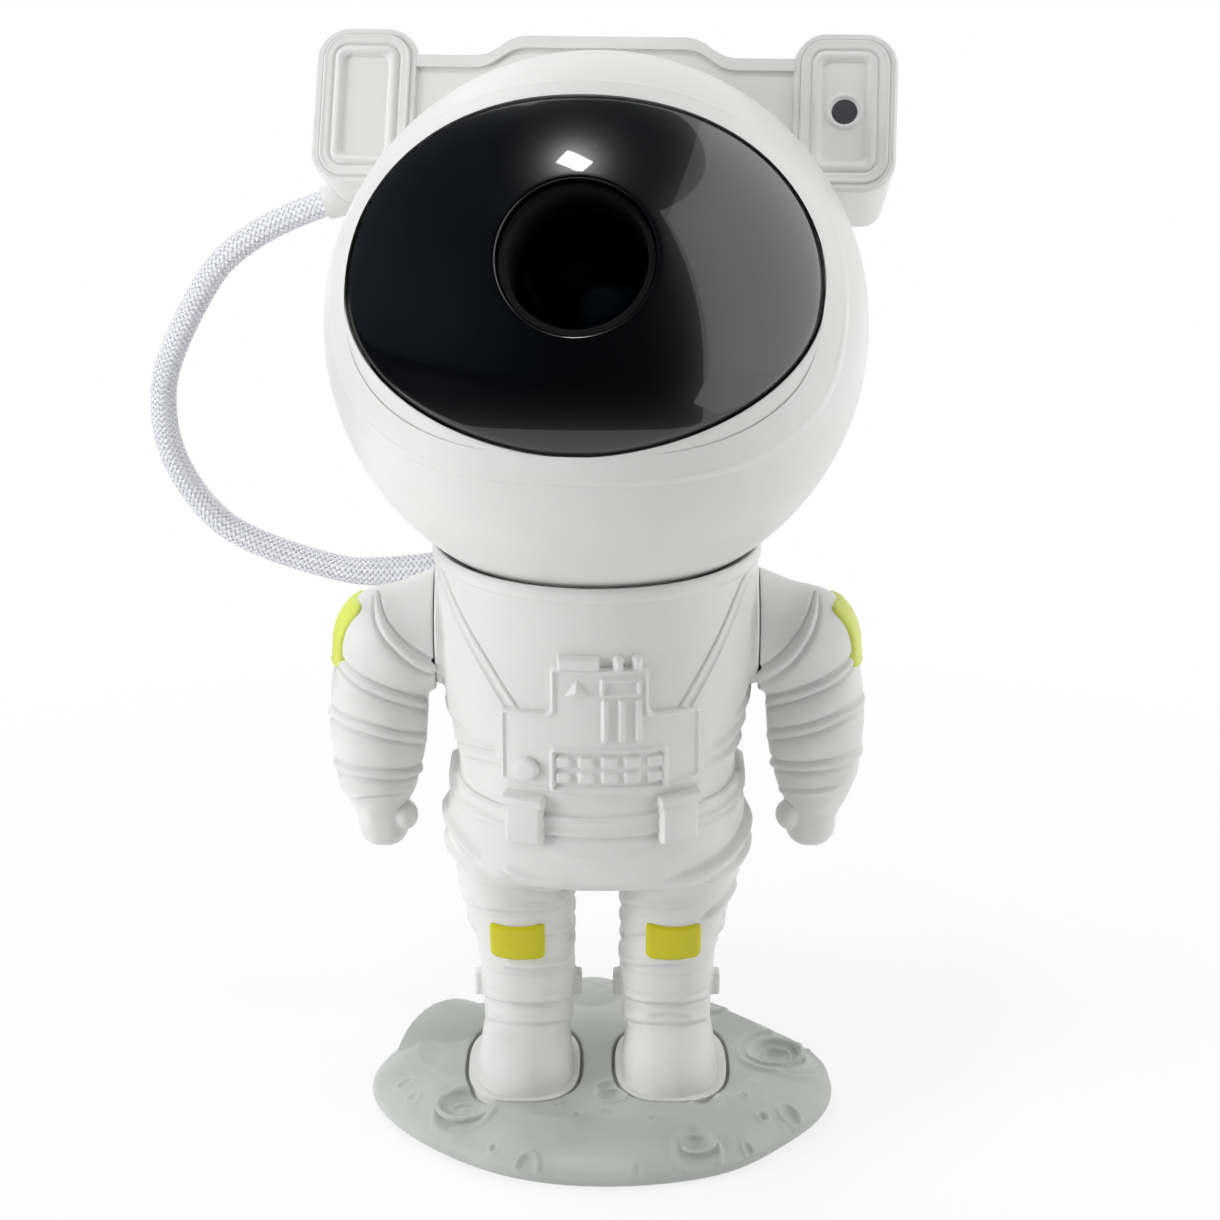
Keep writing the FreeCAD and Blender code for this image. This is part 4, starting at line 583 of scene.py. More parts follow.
def grid_quads(rows, columns, round_rows=False, round_columns=False):
    """Quads of a grid of points, closed on itself along either way if asked."""
    index = np.arange(rows * columns).reshape(rows, columns)
    if round_rows:
        index = np.vstack([index, index[:1]])
    if round_columns:
        index = np.hstack([index, index[:, :1]])
    quads = np.stack([index[:-1, :-1], index[:-1, 1:], index[1:, 1:], index[1:, :-1]], -1)
    return quads.reshape(-1, 4)


def end_caps(rows, columns):
    """Quads that close both ends of a grid whose rows are rings of an even number of points."""
    faces = []
    for start in (0, (rows - 1) * columns):
        ring = [start + i for i in range(columns)]
        strip = [[ring[i], ring[i + 1], ring[-2 - i], ring[-1 - i]] for i in range(columns // 2 - 1)]
        faces += [face[::-1] for face in strip] if start else strip
    return faces


def outward(points, quads):
    """Turns all faces so that they look out of the closed form."""
    corners = points[quads] - points.mean(0)
    cross = np.cross(corners[:, 2] - corners[:, 0], corners[:, 3] - corners[:, 1])
    return quads if np.einsum("ij,ij->", corners[:, 0], cross) > 0 else quads[:, ::-1]


def ribbon(name, table, line, profile, body, slot="suit_white", closed=False, count=260, nodes=()):
    """A raised strip on a column along (degrees, height), with a profile of (across, out) pairs."""
    route = smooth_line(line, count)
    radius = np.interp(route[:, 1], table[0], table[3])
    flat = np.column_stack([np.radians(route[:, 0]) * radius, route[:, 1]])
    along = np.gradient(flat, axis=0)
    along /= np.linalg.norm(along, axis=1)[:, None]
    side = np.column_stack([-along[:, 1], along[:, 0]])
    across = np.array([a for a, _ in profile])
    out = np.array([o for _, o in profile])
    degrees = route[:, :1] + np.degrees(side[:, :1] * across / radius[:, None])
    height = route[:, 1:] + side[:, 1:] * across
    points = on_column(table, degrees, height, out[None, :])
    if closed:
        points = points[:-1]
    quads = grid_quads(len(points), len(profile), closed, True)
    if not closed:
        quads = np.vstack([quads, end_caps(len(points), len(profile))])
    points = points.reshape(-1, 3)
    return add_mesh(name, points, outward(points, quads), slot, body, nodes)


def arch(width, height, sink=0.5, steps=7):
    """Profile of a rounded raised strip whose edges are sunk under the surface."""
    across = np.linspace(-width / 2, width / 2, steps)
    crown = height * (1 - np.abs(np.linspace(-1, 1, steps)) ** 4)
    top = [(-width / 2 - 0.1, -sink * 0.6)] + list(zip(across, crown)) + [(width / 2 + 0.1, -sink * 0.6)]
    return top + [(width / 2, -sink), (-width / 2, -sink)]


SKIRT, BACK = 0.45, 0.9  # how far a relief's edge and back lie under the surface


def relief(name, box, step, outline, rise, place, slot="suit_white", body=FIGURE, nodes=()):
    """A closed plate: rise(u, v) is its front's height inside outline(u, v), and place lays it down."""
    left, right, low, high = box
    u, v = np.meshgrid(np.arange(left, right, step), np.arange(low, high, step), indexing="ij")
    edge = outline(u, v)
    inside = unit(0.5 - edge / 0.16)
    height = np.where(edge < 0.02, rise(u, v), -SKIRT) * inside - SKIRT * (1 - inside)
    quads = grid_quads(*u.shape)
    quads = quads[(edge.ravel()[quads] < 0.3).any(1)]
    used, quads = np.unique(quads, return_inverse=True)
    quads = quads.reshape(-1, 4)
    front = place(u, v, height).reshape(-1, 3)[used]
    back = place(u, v, height * 0 - BACK).reshape(-1, 3)[used]
    edges = np.vstack([quads[:, [i, (i + 1) % 4]] for i in range(4)])
    code = edges[:, 0] * len(used) + edges[:, 1]
    rim = edges[~np.isin(code, edges[:, 1] * len(used) + edges[:, 0])]
    sides = np.column_stack([rim[:, 1], rim[:, 0], rim[:, 0] + len(used), rim[:, 1] + len(used)])
    faces = np.vstack([quads, quads[:, ::-1] + len(used), sides])
    points = np.vstack([front, back])
    return add_mesh(name, points, outward(points, faces), slot, body, nodes)


def on_chest(u, v, height):
    """Places a relief on the front of the torso."""
    centre_x, centre_y, half_x, half_y, power = section(TORSO, v)
    share = np.clip(np.abs((u - centre_x) / half_x), 0, 0.985)
    y = centre_y - half_y * (1 - share ** power) ** (1 / power)
    slope = np.clip(np.gradient(y, axis=0) / np.gradient(u, axis=0), -1.2, 1.2)
    return np.stack([u + 0.45 * slope * height, y - height, v], -1)


add_stage()
add_set()


# ---- suit
TORSO_LEVELS = [
    (125, 0, 0, 32.1, 32.1, 2.0), (117, 0, 0, 31.8, 31.2, 2.0), (108, 0, 0, 31.5, 29.8, 2.1),
    (96, 0, 0, 30.8, 28.9, 2.2), (86, 0, 0, 29.0, 27.4, 2.2), (79, 0, 0, 27.6, 26.0, 2.2),
    (74, 0, 0, 28.6, 26.2, 2.2), (68, 0, 0, 30.4, 27.0, 2.2), (61, 0, 0, 30.7, 26.2, 2.3),
    (57, 0, 0.3, 29.8, 23.6, 2.3), (52, 0, 0.5, 28.4, 19.5, 2.3)]
TORSO = level_table(TORSO_LEVELS)
COLLAR_TOP = 124.0
CROTCH = 58.3
HEAD_ROOM = 53.1
NECK_BORE = 25.0
BORE_FLOOR = 64
SHOULDER_SEAT = (10.7, 12.1)
SEAT_HEIGHT = 106.6


LEG_LEVELS = [
    (20, 14.3, 1.6, 9.2, 10.9, 2.3), (30, 14.3, 1.6, 9.5, 11.2, 2.3), (38, 14.8, 1.6, 10.0, 11.8, 2.3),
    (46, 15.8, 1.4, 11.1, 13.0, 2.3), (52, 16.6, 1.2, 12.0, 14.8, 2.3), (58, 17.1, 0.8, 12.4, 17.4, 2.3),
    (66, 17.0, 0.6, 11.5, 18.0, 2.3)]
BOOT_LEVELS = [
    (8.8, 15.0, 0.4, 9.9, 15.6, 2.6), (13, 15.0, 0.7, 9.6, 14.8, 2.6), (17, 14.9, 1.2, 9.0, 13.4, 2.6),
    (20.5, 14.6, 1.6, 8.6, 12.0, 2.5), (24, 14.3, 1.7, 8.4, 11.1, 2.4), (28, 14.2, 1.7, 8.4, 10.7, 2.4),
    (34, 14.2, 1.7, 8.6, 10.5, 2.4)]
ARM_LEVELS = [
    (66.5, 44.2, 0, 4.8, 5.0, 2.1), (68.5, 44.3, 0, 5.8, 5.9, 2.1), (72, 44.3, 0, 7.4, 7.4, 2.1),
    (76, 44.2, 0, 8.6, 8.6, 2.1), (82, 44.0, 0, 9.6, 9.5, 2.1), (88, 43.9, 0, 9.9, 9.9, 2.1),
    (94, 43.6, 0, 9.8, 10.0, 2.1), (100, 42.6, 0, 9.8, 10.0, 2.0), (104, 41.7, 0, 9.6, 10.0, 2.0)]


def on_side(levels, side):
    """Levels of a limb, taken to the left (-1) or the right (1)."""
    return [(z, side * x, *rest) for z, x, *rest in levels]


def oval_plate(field, centre, half, power, low, high):
    """Upright plate with a superellipse outline."""
    ratio = np.abs((field.x - centre[0]) / half[0]) ** power + np.abs((field.y - centre[1]) / half[1]) ** power
    return np.maximum((ratio ** (1 / power) - 1) * min(half), np.maximum(low - field.z, field.z - high))


def sculpt_suit():
    """Collar, chest, hips, legs and boots in one moulded shell, hollow under the helmet."""
    f = Field((-36, -34, 7.0), (36, 34, 125), 0.4)
    form = overlap(column(f, TORSO_LEVELS), f.z - COLLAR_TOP, 0.8)
    form = overlap(form, CROTCH - f.z, 3.0)
    for side in (-1, 1):
        form = join(form, column(f, on_side(LEG_LEVELS, side)), 2.6)
        half_y, half_z = SHOULDER_SEAT
        seat = (np.sqrt((f.y / half_y) ** 2 + ((f.z - SEAT_HEIGHT) / half_z) ** 2) - 1) * half_y
        seat = np.maximum(seat, np.maximum(side * f.x - 31.95, 26 - side * f.x))
        form = join(form, seat, 0.7)
        pocket = rounded_box(f, (side * 27.0, 2.0, 71.8), (2.9, 6.0, 5.3), 0.8)
        form = join(form, pocket, 0.4)
    form = carve(form, np.maximum(np.abs(f.x) - 4.3, f.z - CROTCH), 0.8)
    for side in (-1, 1):
        toe = overlap(ellipsoid(f, (side * 15.0, -5.4, 11.4), (9.6, 10.8, 10.9)), 9.2 - f.z, 0.8)
        boot = join(column(f, on_side(BOOT_LEVELS, side)), toe, 1.6)
        boot = join(boot, oval_plate(f, (side * 14.3, 1.6), (9.6, 11.5), 2.4, 29.4, 36.0), 0.6)
        for outward_side in (-1, 1):
            block = rounded_box(f, (side * 14.3 + outward_side * 9.5, 0.4, 28.0), (1.6, 2.0, 2.4), 0.5)
            boot = join(boot, block, 0.3)
        form = join(form, boot, 0.5)
    head_room = np.sqrt(f.x ** 2 + f.y ** 2 + (f.z - HEAD_CENTRE[2]) ** 2) - HEAD_ROOM
    form = carve(form, head_room, 0.3)
    form = carve(form, np.maximum(np.hypot(f.x, f.y) - NECK_BORE, BORE_FLOOR - f.z), 0.3)
    for (label, _), centre in zip(SIDES, (-16.2, 15.5)):
        dip = 0.7 * unit(1 - (np.abs(f.x - centre) / 5.6) ** 2)
        dip = f.z + dip * np.clip((f.z - 38) / 8, 0.2, 1)
        frame_box = plane_box(f.x, dip, centre - 5.65, centre + 5.65, 37.9, 46.3, 1.2)
        add_pad("knee", label, f, form, np.maximum(frame_box, f.y + 4), 0.72, 0.7, FIGURE)
    return Skin(*f.mesh(form))


def add_pad(where, label, field, form, frame_box, rise, soft, body):
    """A raised patch: what a frame cuts out of a skin a little over the form."""
    pad = overlap(form - rise, frame_box, soft)
    points, quads = field.mesh(np.maximum(pad, -(form + 1.2)))
    return add_mesh(f"{where}_pad_{label}", points, quads, "patch_yellow", body, (f"{where}_patch_{label}",))


TORSO_FOLDS = [
    ([(-80, 84), (-55, 86.3), (-40, 87.4)], 0.4, 0.8, 0.4), ([(-72, 81.6), (-52, 83.8), (-38, 84.6)], 0.35, 0.7, 0.3),
    ([(84, 91.5), (64, 88.6), (46, 87.4)], 0.45, 0.9, 0.45), ([(88, 86.4), (66, 84.8), (44, 84.2)], 0.4, 0.8, 0.4),
    ([(90, 96), (78, 93), (60, 91.6)], 0.3, 0.9, 0.35), ([(-92, 91), (-76, 89.5), (-58, 90)], 0.3, 0.9, 0.3),
    ([(104, 68.5), (80, 67.0), (56, 64.1), (42, 62.3), (24, 60.8)], 0.75, 1.2, 0.8),
    ([(98, 63.8), (78, 62.4), (58, 60.0), (38, 57.8)], 0.5, 1.0, 0.5),
    ([(-104, 67.0), (-84, 66.0), (-64, 64.6), (-50, 62.4)], 0.65, 1.2, 0.7),
    ([(-98, 61.8), (-78, 60.2), (-60, 59.8), (-44, 58.2)], 0.45, 1.0, 0.45),
    ([(-42, 62.4), (-33, 61.0), (-22, 60.2), (-8, 60.8)], 0.4, 0.9, 0.45),
    ([(-20, 66.4), (0, 65.4), (18, 66.0)], 0.12, 1.0, 0.14), ([(150, 68), (180, 66.5), (215, 68)], 0.5, 1.1, 0.5),
    ([(135, 62), (160, 60.4), (185, 60.6)], 0.4, 1.0, 0.4), ([(190, 62.4), (212, 61), (238, 63)], 0.4, 1.0, 0.4),
    ([(112, 88), (128, 86), (146, 86.4)], 0.3, 0.9, 0.3), ([(214, 86), (232, 86.4), (250, 88.5)], 0.3, 0.9, 0.3),
    ([(100, 101), (118, 96), (134, 94)], 0.25, 1.1, 0.3), ([(226, 94), (244, 97), (262, 102)], 0.25, 1.1, 0.3),
]
LEG_FOLDS = {
    -1: [
        ([(-60, 58.5), (-5, 56.5), (14, 54.1), (40, 52.4), (80, 51.9)], 0.65, 1.0, 0.6),
        ([(-80, 49.4), (-40, 48.7), (-10, 49.4), (30, 49.0), (70, 48.5)], 0.5, 0.9, 0.5),
        ([(14, 42.9), (35, 42.4), (75, 41.2)], 0.4, 0.7, 0.4),
        ([(-100, 44.4), (-80, 42.4), (-58, 39.8)], 0.4, 0.8, 0.4),
        ([(-20, 35.6), (2, 35.2), (27, 35.1), (70, 34.6)], 0.45, 0.75, 0.45),
        ([(40, 38.6), (62, 38.2), (92, 38.6)], 0.4, 0.7, 0.4),
    ],
    1: [
        ([(-90, 49.6), (-40, 52.0), (-14, 54.3), (8, 57.0), (34, 60.3)], 0.65, 1.0, 0.65),
        ([(-86, 46.1), (-39, 48.5), (-8, 49.9), (24, 51.4)], 0.5, 0.9, 0.5),
        ([(70, 54.0), (45, 50.6), (18, 46.9)], 0.45, 0.9, 0.45),
        ([(-90, 38.8), (-46, 41.4), (-26, 42.8)], 0.4, 0.7, 0.4),
        ([(-86, 32.9), (-41, 35.0), (-11, 36.1), (24, 36.5)], 0.45, 0.75, 0.45),
        ([(96, 45), (76, 43.2), (48, 42.4)], 0.4, 0.8, 0.4),
    ],
}


def dress_suit(skin):
    """Folds over the chest, hips, legs and boots."""
    skin.around((0, 0), 29.0, 57.5, 123.5)
    for line, depth, width, lip in TORSO_FOLDS:
        skin.fold(line, 2.0 * depth, width, 1.8 * lip)
    for height in (71.0, 75.9):
        hem = [(a, height + 1.2 * abs(math.sin(math.radians(a))) ** 1.5) for a in range(-180, 181, 12)]
        skin.groove(hem, 0.4, 0.5, 0)
    for side in (-1, 1):
        skin.around((side * 15.8, 1.4), 11.5, 33.0, 60, side)
        for line, depth, width, lip in LEG_FOLDS[side]:
            skin.fold(line, 1.6 * depth, width, 1.6 * lip)
        for number, height in enumerate((36.2, 40.0, 44.0, 48.0, 52.0)):
            sway = 0.8 * (-1) ** number
            back = [(92, height), (135, height - 0.9 + sway * 0.3), (180, height - 0.4),
                    (225, height - 1.0 - sway * 0.3), (268, height + 0.2)]
            skin.fold(back, 0.45, 0.85, 0.45, 0.18)
            skin.fold([(side * 62, height + 0.4 + sway), (side * 90, height), (side * 122, height - 0.6)],
                      0.35, 0.75, 0.4, 0.3)
            skin.fold([(-side * 62, height + 0.2), (-side * 90, height - 0.3), (-side * 122, height - 0.4)],
                      0.3, 0.7, 0.35, 0.3)
        skin.around((side * 14.6, 1.4), 11.5, 8, 34, side)
        skin.groove([(a, 33.6) for a in range(-180, 181, 30)], 0.35, 0.5, 0)
        skin.fold([(-70, 25.6), (-20, 27.0), (14, 27.0), (70, 25.6)], 0.9, 0.8, 0.8)
        if side > 0:
            skin.fold([(-28, 23.6), (1, 24.6), (34, 23.0)], 0.4, 0.8, 0.45)
        skin.fold([(-66, 20.4), (-30, 22.2), (0, 22.7), (30, 22.2), (64, 20.4)], 0.65, 0.6, 0.5, 0.16)
        skin.fold([(110, 21.5), (150, 22.6), (180, 22.8), (210, 22.6), (250, 21.5)], 0.4, 0.8, 0.4)
    return skin.shape()


def add_suit():
    """The shell with its bands, belt, panel and pouches."""
    skin = sculpt_suit()
    add_mesh("suit_shell", dress_suit(skin), skin.quads, "suit_white", FIGURE, ("suit_front", "suit_back"))
    collar = [(a, 122.4 + 0.5 * math.sin(math.radians(a)) ** 2) for a in range(0, 361, 10)]
    ribbon("collar_band", TORSO, collar, arch(3.0, 0.5), FIGURE, closed=True, count=361)
    for label, line in (("left", [(-72, 120.8), (-65, 117.5), (-47, 107.7), (-33, 98.0), (-31.5, 96.9)]),
                        ("right", [(69, 121.2), (61, 118.0), (47.5, 108.1), (34.7, 98.3), (33.5, 97.2)])):
        ribbon(f"harness_{label}", TORSO, line, piping(1.2), FIGURE)
    belt = [(a, 73.4 + 1.2 * abs(math.sin(math.radians(a))) ** 1.5) for a in range(0, 361, 8)]
    ribbon("belt", TORSO, belt, piping(1.5), FIGURE, closed=True, count=361)
    relief("support_panel", (-20.0, 21.5, 79.0, 112.0), 0.16, panel_outline, panel_rise, on_chest)
    for label, centre in (("left", -14.0), ("right", 15.9)):
        relief(f"pouch_{label}", (centre - 5.5, centre + 5.5, 68.0, 81.0), 0.2,
               lambda x, z: pouch_outline(x - centre, z), lambda x, z: pouch_rise(x - centre, z), on_chest)


def piping(half):
    """Profile of a flat band whose edges are corded."""
    left = [(-half - out, rise) for out, rise in ((0.6, -0.3), (0.32, 0.22), (0, 0.55), (-0.32, 0.36), (-0.6, 0.1))]
    right = [(-across, rise) for across, rise in left[::-1]]
    return left + [(0, 0.06)] + right + [(half * share, -0.6) for share in (1, 0.5, 0, -0.5, -1)]


def panel_shape(x, z):
    """The support panel's two plates, joined."""
    lower = plane_box(x, z, -18.4, 19.9, 80.5, 98.2, 1.4)
    lower = np.maximum(lower, 80.5 + 0.0052 * x ** 2 - z)
    upper = plane_box(x, z, -8.8, 10.0, 90, 107.8, 1.2)
    return join(lower, upper, 1.6)


def knobs(x, z, low):
    """Outline of the two knobs over the panel, from a height up."""
    return [np.maximum(np.hypot(x - middle, np.maximum(z - 109.3, 0)) - 1.15, low - z) for middle in (4.1, 7.7)]


def panel_outline(x, z):
    """The panel with its clip and knobs."""
    clip = plane_box(x, z, -7.5, 0.8, 104, 110.3, 0.6)
    return np.minimum(np.minimum(panel_shape(x, z), clip), np.minimum(*knobs(x, z, 104)))


def panel_rise(x, z):
    """Height of the panel's rim, keypad, meter, ribs and knobs."""
    panel = panel_shape(x, z)
    rise = 0.85 * unit(1 - np.maximum(panel, 0) / 0.3)
    rise += 0.5 * bell(panel + 0.55, 0.38)
    tray = plane_box(x, z, -8.6, 13.3, 81.5, 90.6, 0.8)
    rise += 0.8 * bell(tray + 0.2, 0.36) - step_up(tray + 0.7, 0.25, 0.3)
    for number in range(10):
        left = -7.75 + 4.38 * (number % 5)
        low = 83.2 + 3.5 * (number // 5)
        key = plane_box(x, z, left, left + 2.8, low, low + 2.3, 0.5)
        rise += step_up(key, 0.75, 0.35)
    for centre in (1.6, 4.8, 8.0):
        rib = plane_box(x, z, centre - 0.2, centre + 0.2, 92.6, 101.0, 0.2)
        rise += 0.85 * bell(np.maximum(rib, 0), 0.3)
    meter = plane_box(x, z, 0.8, 8.4, 102.0, 105.7, 0.7)
    rise += 0.75 * bell(meter + 0.35, 0.34)
    flag = np.maximum((np.abs(x + 3.75) - 0.656 * (105.4 - z)) * 0.836, 101.9 - z)
    rise += 1.7 * unit(-flag / 1.0)
    dial = np.hypot(x + 13.4, z - 85.8)
    rise += 1.6 * unit(1 - (dial / 2.5) ** 6) ** 0.5
    clip = plane_box(x, z, -7.5, 0.8, 107.2, 110.3, 0.6)
    rise = np.maximum(rise, step_up(clip + 0.25, 2.1, 0.35))
    for knob in knobs(x, z, 107.0):
        rise = np.maximum(rise, 2.2 * np.sqrt(unit(-knob / 1.1)))
    return rise


def pouch_parts(x, z):
    """Outlines of a pouch's body and flap."""
    return plane_box(x, z, -3.75, 3.75, 69.6, 79.0, 0.8), plane_box(x, z, -4.1, 4.1, 77.0, 79.7, 0.6)


def pouch_outline(x, z):
    return np.minimum(*pouch_parts(x, z))


def pouch_rise(x, z):
    body, flap = pouch_parts(x, z)
    rise = 2.3 * np.sqrt(unit(-body / 0.8))
    return np.maximum(rise, 2.7 * np.sqrt(unit(-flap / 0.55)))


def sculpt_arm(label, side):
    """Sloping shoulder, sleeve, cuff and mitten with its thumb."""
    low, high = ((31, -13, 56), (56, 13, 121)) if side > 0 else ((-56, -13, 56), (-31, 13, 121))
    f = Field(low, high, 0.32)
    form = column(f, on_side(ARM_LEVELS, side))
    for part, soft in ((ellipsoid(f, (side * 41.6, 0, 104.0), (9.9, 10.2, 10.0)), 1.2),
                       (rod(f, (side * 29, 0, 108.2), (side * 41.2, 0, 103.0), 10.3), 2.0),
                       (rod(f, (side * 29, 0, 104.2), (side * 40.6, 0, 101.0), 9.6), 2.0),
                       (rounded_box(f, (side * 43.4, -0.2, 65.0), (5.1, 5.5, 5.5), 4.5), 0.8),
                       (ellipsoid(f, (side * 39.0, -2.8, 66.6), (2.7, 2.8, 3.1)), 0.6)):
        form = join(form, part, soft)
    form = overlap(form, 32.15 - side * f.x, 0.4)
    frame_box = rounded_box(f, (side * 54.5, 0, 105.6), (8.4, 6.0, 6.6), 1.4)
    patch = add_pad("shoulder", label, f, form, frame_box, 0.7, 0.6, f"arm_{label}")
    patch.data.materials[0] = MATERIALS["patch_pale"]
    return Skin(*f.mesh(form)).around((side * 43.5, 0), 9.6)


ARM_WELTS = {
    -1: [
        [(-6, 116.2), (10, 109), (40, 102), (60, 99.4)],
        [(-75, 101.5), (-40, 99.2), (-6, 96.6), (30, 93.6), (95, 88.4)],
        [(-100, 88.4), (-60, 89.0), (-18, 88.0), (20, 86.0), (95, 81.6)],
        [(-120, 76.6), (-60, 77.6), (-10, 77.6), (40, 76.8), (110, 75.4)], [(-44, 71.0), (2, 73.0), (66, 72.4)],
    ],
    1: [
        [(4, 117.2), (-10, 109.5), (-36, 101.5), (-80, 94.6)],
        [(60, 101.2), (30, 99.0), (0, 96.6), (-40, 93.4), (-95, 89.2)],
        [(100, 91.6), (40, 90.6), (0, 88.2), (-40, 85.8), (-95, 82.4)],
        [(110, 80.4), (40, 80.0), (-10, 79.2), (-50, 78.2), (-110, 76.4)],
        [(44, 75.4), (10, 74.6), (-30, 73.8), (-95, 72.0)],
    ],
}


def dress_arm(skin, side):
    """Corded seams and puffs of the sleeve, and the fold over the mitten."""
    for number, line in enumerate(ARM_WELTS[side]):
        if number < 4:
            skin.welt(line, 0.5, 1.5, 0.6)
        else:
            skin.fold(line, 0.5, 0.6, 0.5)
        puff = [(a, z - 4.2) for a, z in line]
        skin.draw(puff, lambda d: 0.6 * bell(d, 2.4), 6, 0.3)
    for height in (98.5, 92.5, 86.8, 81.2, 76.0):
        back = [(95, height - 1.5), (140, height), (180, height + 0.6), (220, height), (265, height - 1.5)]
        skin.welt(back, 0.45, 1.4, 0.5)
    return skin.shape()


def add_arms():
    for label, side in SIDES:
        skin = sculpt_arm(label, side)
        add_mesh(f"arm_sleeve_{label}", dress_arm(skin, side), skin.quads, "suit_white", f"arm_{label}",
                 (f"arm_{label}",))


add_suit()
add_arms()


# ---- head, in the frame of the face
FACE = np.array(Matrix.Translation(HEAD_CENTRE) @ Matrix.Rotation(HEAD_TURN, 4, "Z")
                @ Matrix.Rotation(HEAD_TILT, 4, "X") @ Matrix.Rotation(math.radians(90), 4, "X"))
EAR_SPAN = 46.6
EAR_HEIGHT = 42.0
EAR_FRONT = 6.0
VISOR_HALF = (44.0, 33.0)
VISOR_TOP_POWER = 2.36
VISOR_LOW_POWER = 1.86
OPENING_LOW_POWER = 2.36
LENS_HOLE = 14.3
SHIELD_OUT = 52.75
SHIELD_IN = 51.25


def from_face(x, y, z):
    """Points of the face's frame: across, up and forward."""
    return np.stack([x, y, z], -1) @ FACE[:3, :3].T + FACE[:3, 3]


def on_ball(plan, radius):
    """Points of a ball round the head's centre, over a plan drawn on the face."""
    plan, radius = np.broadcast_arrays(plan, np.asarray(radius, float)[..., None])
    radius = radius[..., 0]
    return from_face(plan[..., 0], plan[..., 1], np.sqrt(radius ** 2 - plan[..., 0] ** 2 - plan[..., 1] ** 2))


def visor_edge(angle, grow=0.0, low_power=VISOR_LOW_POWER):
    """The visor's outline on the face, larger by a distance, and rounder below than above."""
    across, up = np.cos(angle), np.sin(angle)
    power = np.where(up > 0, VISOR_TOP_POWER, low_power)
    half_across, half_up = VISOR_HALF
    reach = (np.abs(across / (half_across + grow)) ** power + np.abs(up / (half_up + grow)) ** power) ** (-1 / power)
    return np.stack([across * reach, up * reach - 1.5], -1)


def add_lathed(name, angle, plan, radius, slot, nodes=()):
    """A closed piece of the head from rings round the face, each on a ball of its own radius."""
    points = on_ball(plan, np.array(radius)[None, :]).reshape(-1, 3)
    quads = grid_quads(len(angle), len(radius), True, True)
    add_mesh(name, points, outward(points, quads), slot, "head", nodes)


def add_visor():
    """Polished shell between its rounded outer edge and the round edge of the lens opening."""
    angle = np.linspace(0, 2 * math.pi, 361)[:-1]
    hole = np.stack([0.5 + LENS_HOLE * np.cos(angle), -1.0 + LENS_HOLE * np.sin(angle)], -1)
    rings = [(0, SHIELD_IN), (0, 52.05), (0.005, 52.4), (0.014, 52.62), (0.028, 52.72), (0.045, SHIELD_OUT)]
    rings += [(share, SHIELD_OUT) for share in np.linspace(0.08, 0.95, 30)]
    rings += [(0.968, 52.74), (0.982, 52.66), (0.993, 52.45), (1, 52.1)]
    rings += [(share, SHIELD_IN) for share in (1, 0.8, 0.6, 0.4, 0.2)]
    share = np.array([s for s, _ in rings])[None, :, None]
    plan = hole[:, None] * (1 - share) + visor_edge(angle, -0.05)[:, None] * share
    add_lathed("visor_shield", angle, plan, [r for _, r in rings], "visor_black", ("visor",))


def add_bezel():
    """Rounded lip that stands round the visor, and fills out to the helmet's squarer opening."""
    angle = np.linspace(0, 2 * math.pi, 361)[:-1]
    profile = [(0.3, 51.6), (0.3, 52.5), (0.4, 52.85), (0.62, 53.03), (0.9, 53.1), (1.3, 53.08), (1.7, 52.95),
               (2.2, 52.8), (2.7, 52.75), (3.15, 52.8), (3.5, 52.98), (3.8, 53.08), (4.1, 53.08), (4.4, 52.95),
               (4.6, 52.65), (4.65, 52.2), (4.65, 51.6), (2.4, 51.6)]
    lip, fill = 1.3, 2.2  # where it turns squarer, and over what width
    edges = []
    for grow, _ in profile:
        squarer = (OPENING_LOW_POWER - VISOR_LOW_POWER) * min(max(grow - lip, 0) / fill, 1)
        edges.append(visor_edge(angle, grow, VISOR_LOW_POWER + squarer))
    add_lathed("visor_bezel", angle, np.stack(edges, 1), [r for _, r in profile], "suit_white")


def ear_depth(u, v):
    """Distance in from the outline of the ear's front, which has round corners."""
    return -plane_box(u, v, -10.1, 10.1, -15.9, 15.9, 6.5)


def ear_rise(u, v):
    """Two rounded frames, one inside the other, round a sunken field."""
    inset = ear_depth(u, v)
    rise = 0.34 + 0.12 * bell(inset - 1.9, 0.3)
    rise -= 0.42 * bell(inset - 3.7, 0.26)
    rise += 0.3 * unit(1 - np.abs(inset - 4.7) / 0.75) ** 0.5
    field = plane_box(u, v, -4.5, 4.5, -10.2, 10.2, 1.8)
    return rise - step_up(field, 0.62, 0.3)


def add_ears():
    for label, side in SIDES:
        def place(u, v, height):
            return from_face(side * EAR_SPAN + u, EAR_HEIGHT + v, EAR_FRONT + height)

        def outline(u, v):
            edge = 1.5 - ear_depth(u, v)
            return np.maximum(edge, 2.55 - np.hypot(u, v)) if side > 0 else edge

        def rise(u, v):
            lip = 0.5 * bell(np.hypot(u, v) - 3.2, 0.4) if side > 0 else 0
            return ear_rise(u, v) + lip
        relief(f"ear_frame_{label}", (-9.2, 9.2, -15, 15), 0.16, outline, rise, place, body="head",
               nodes=(f"ear_panel_{label}",))


add_visor()
add_bezel()
add_ears()


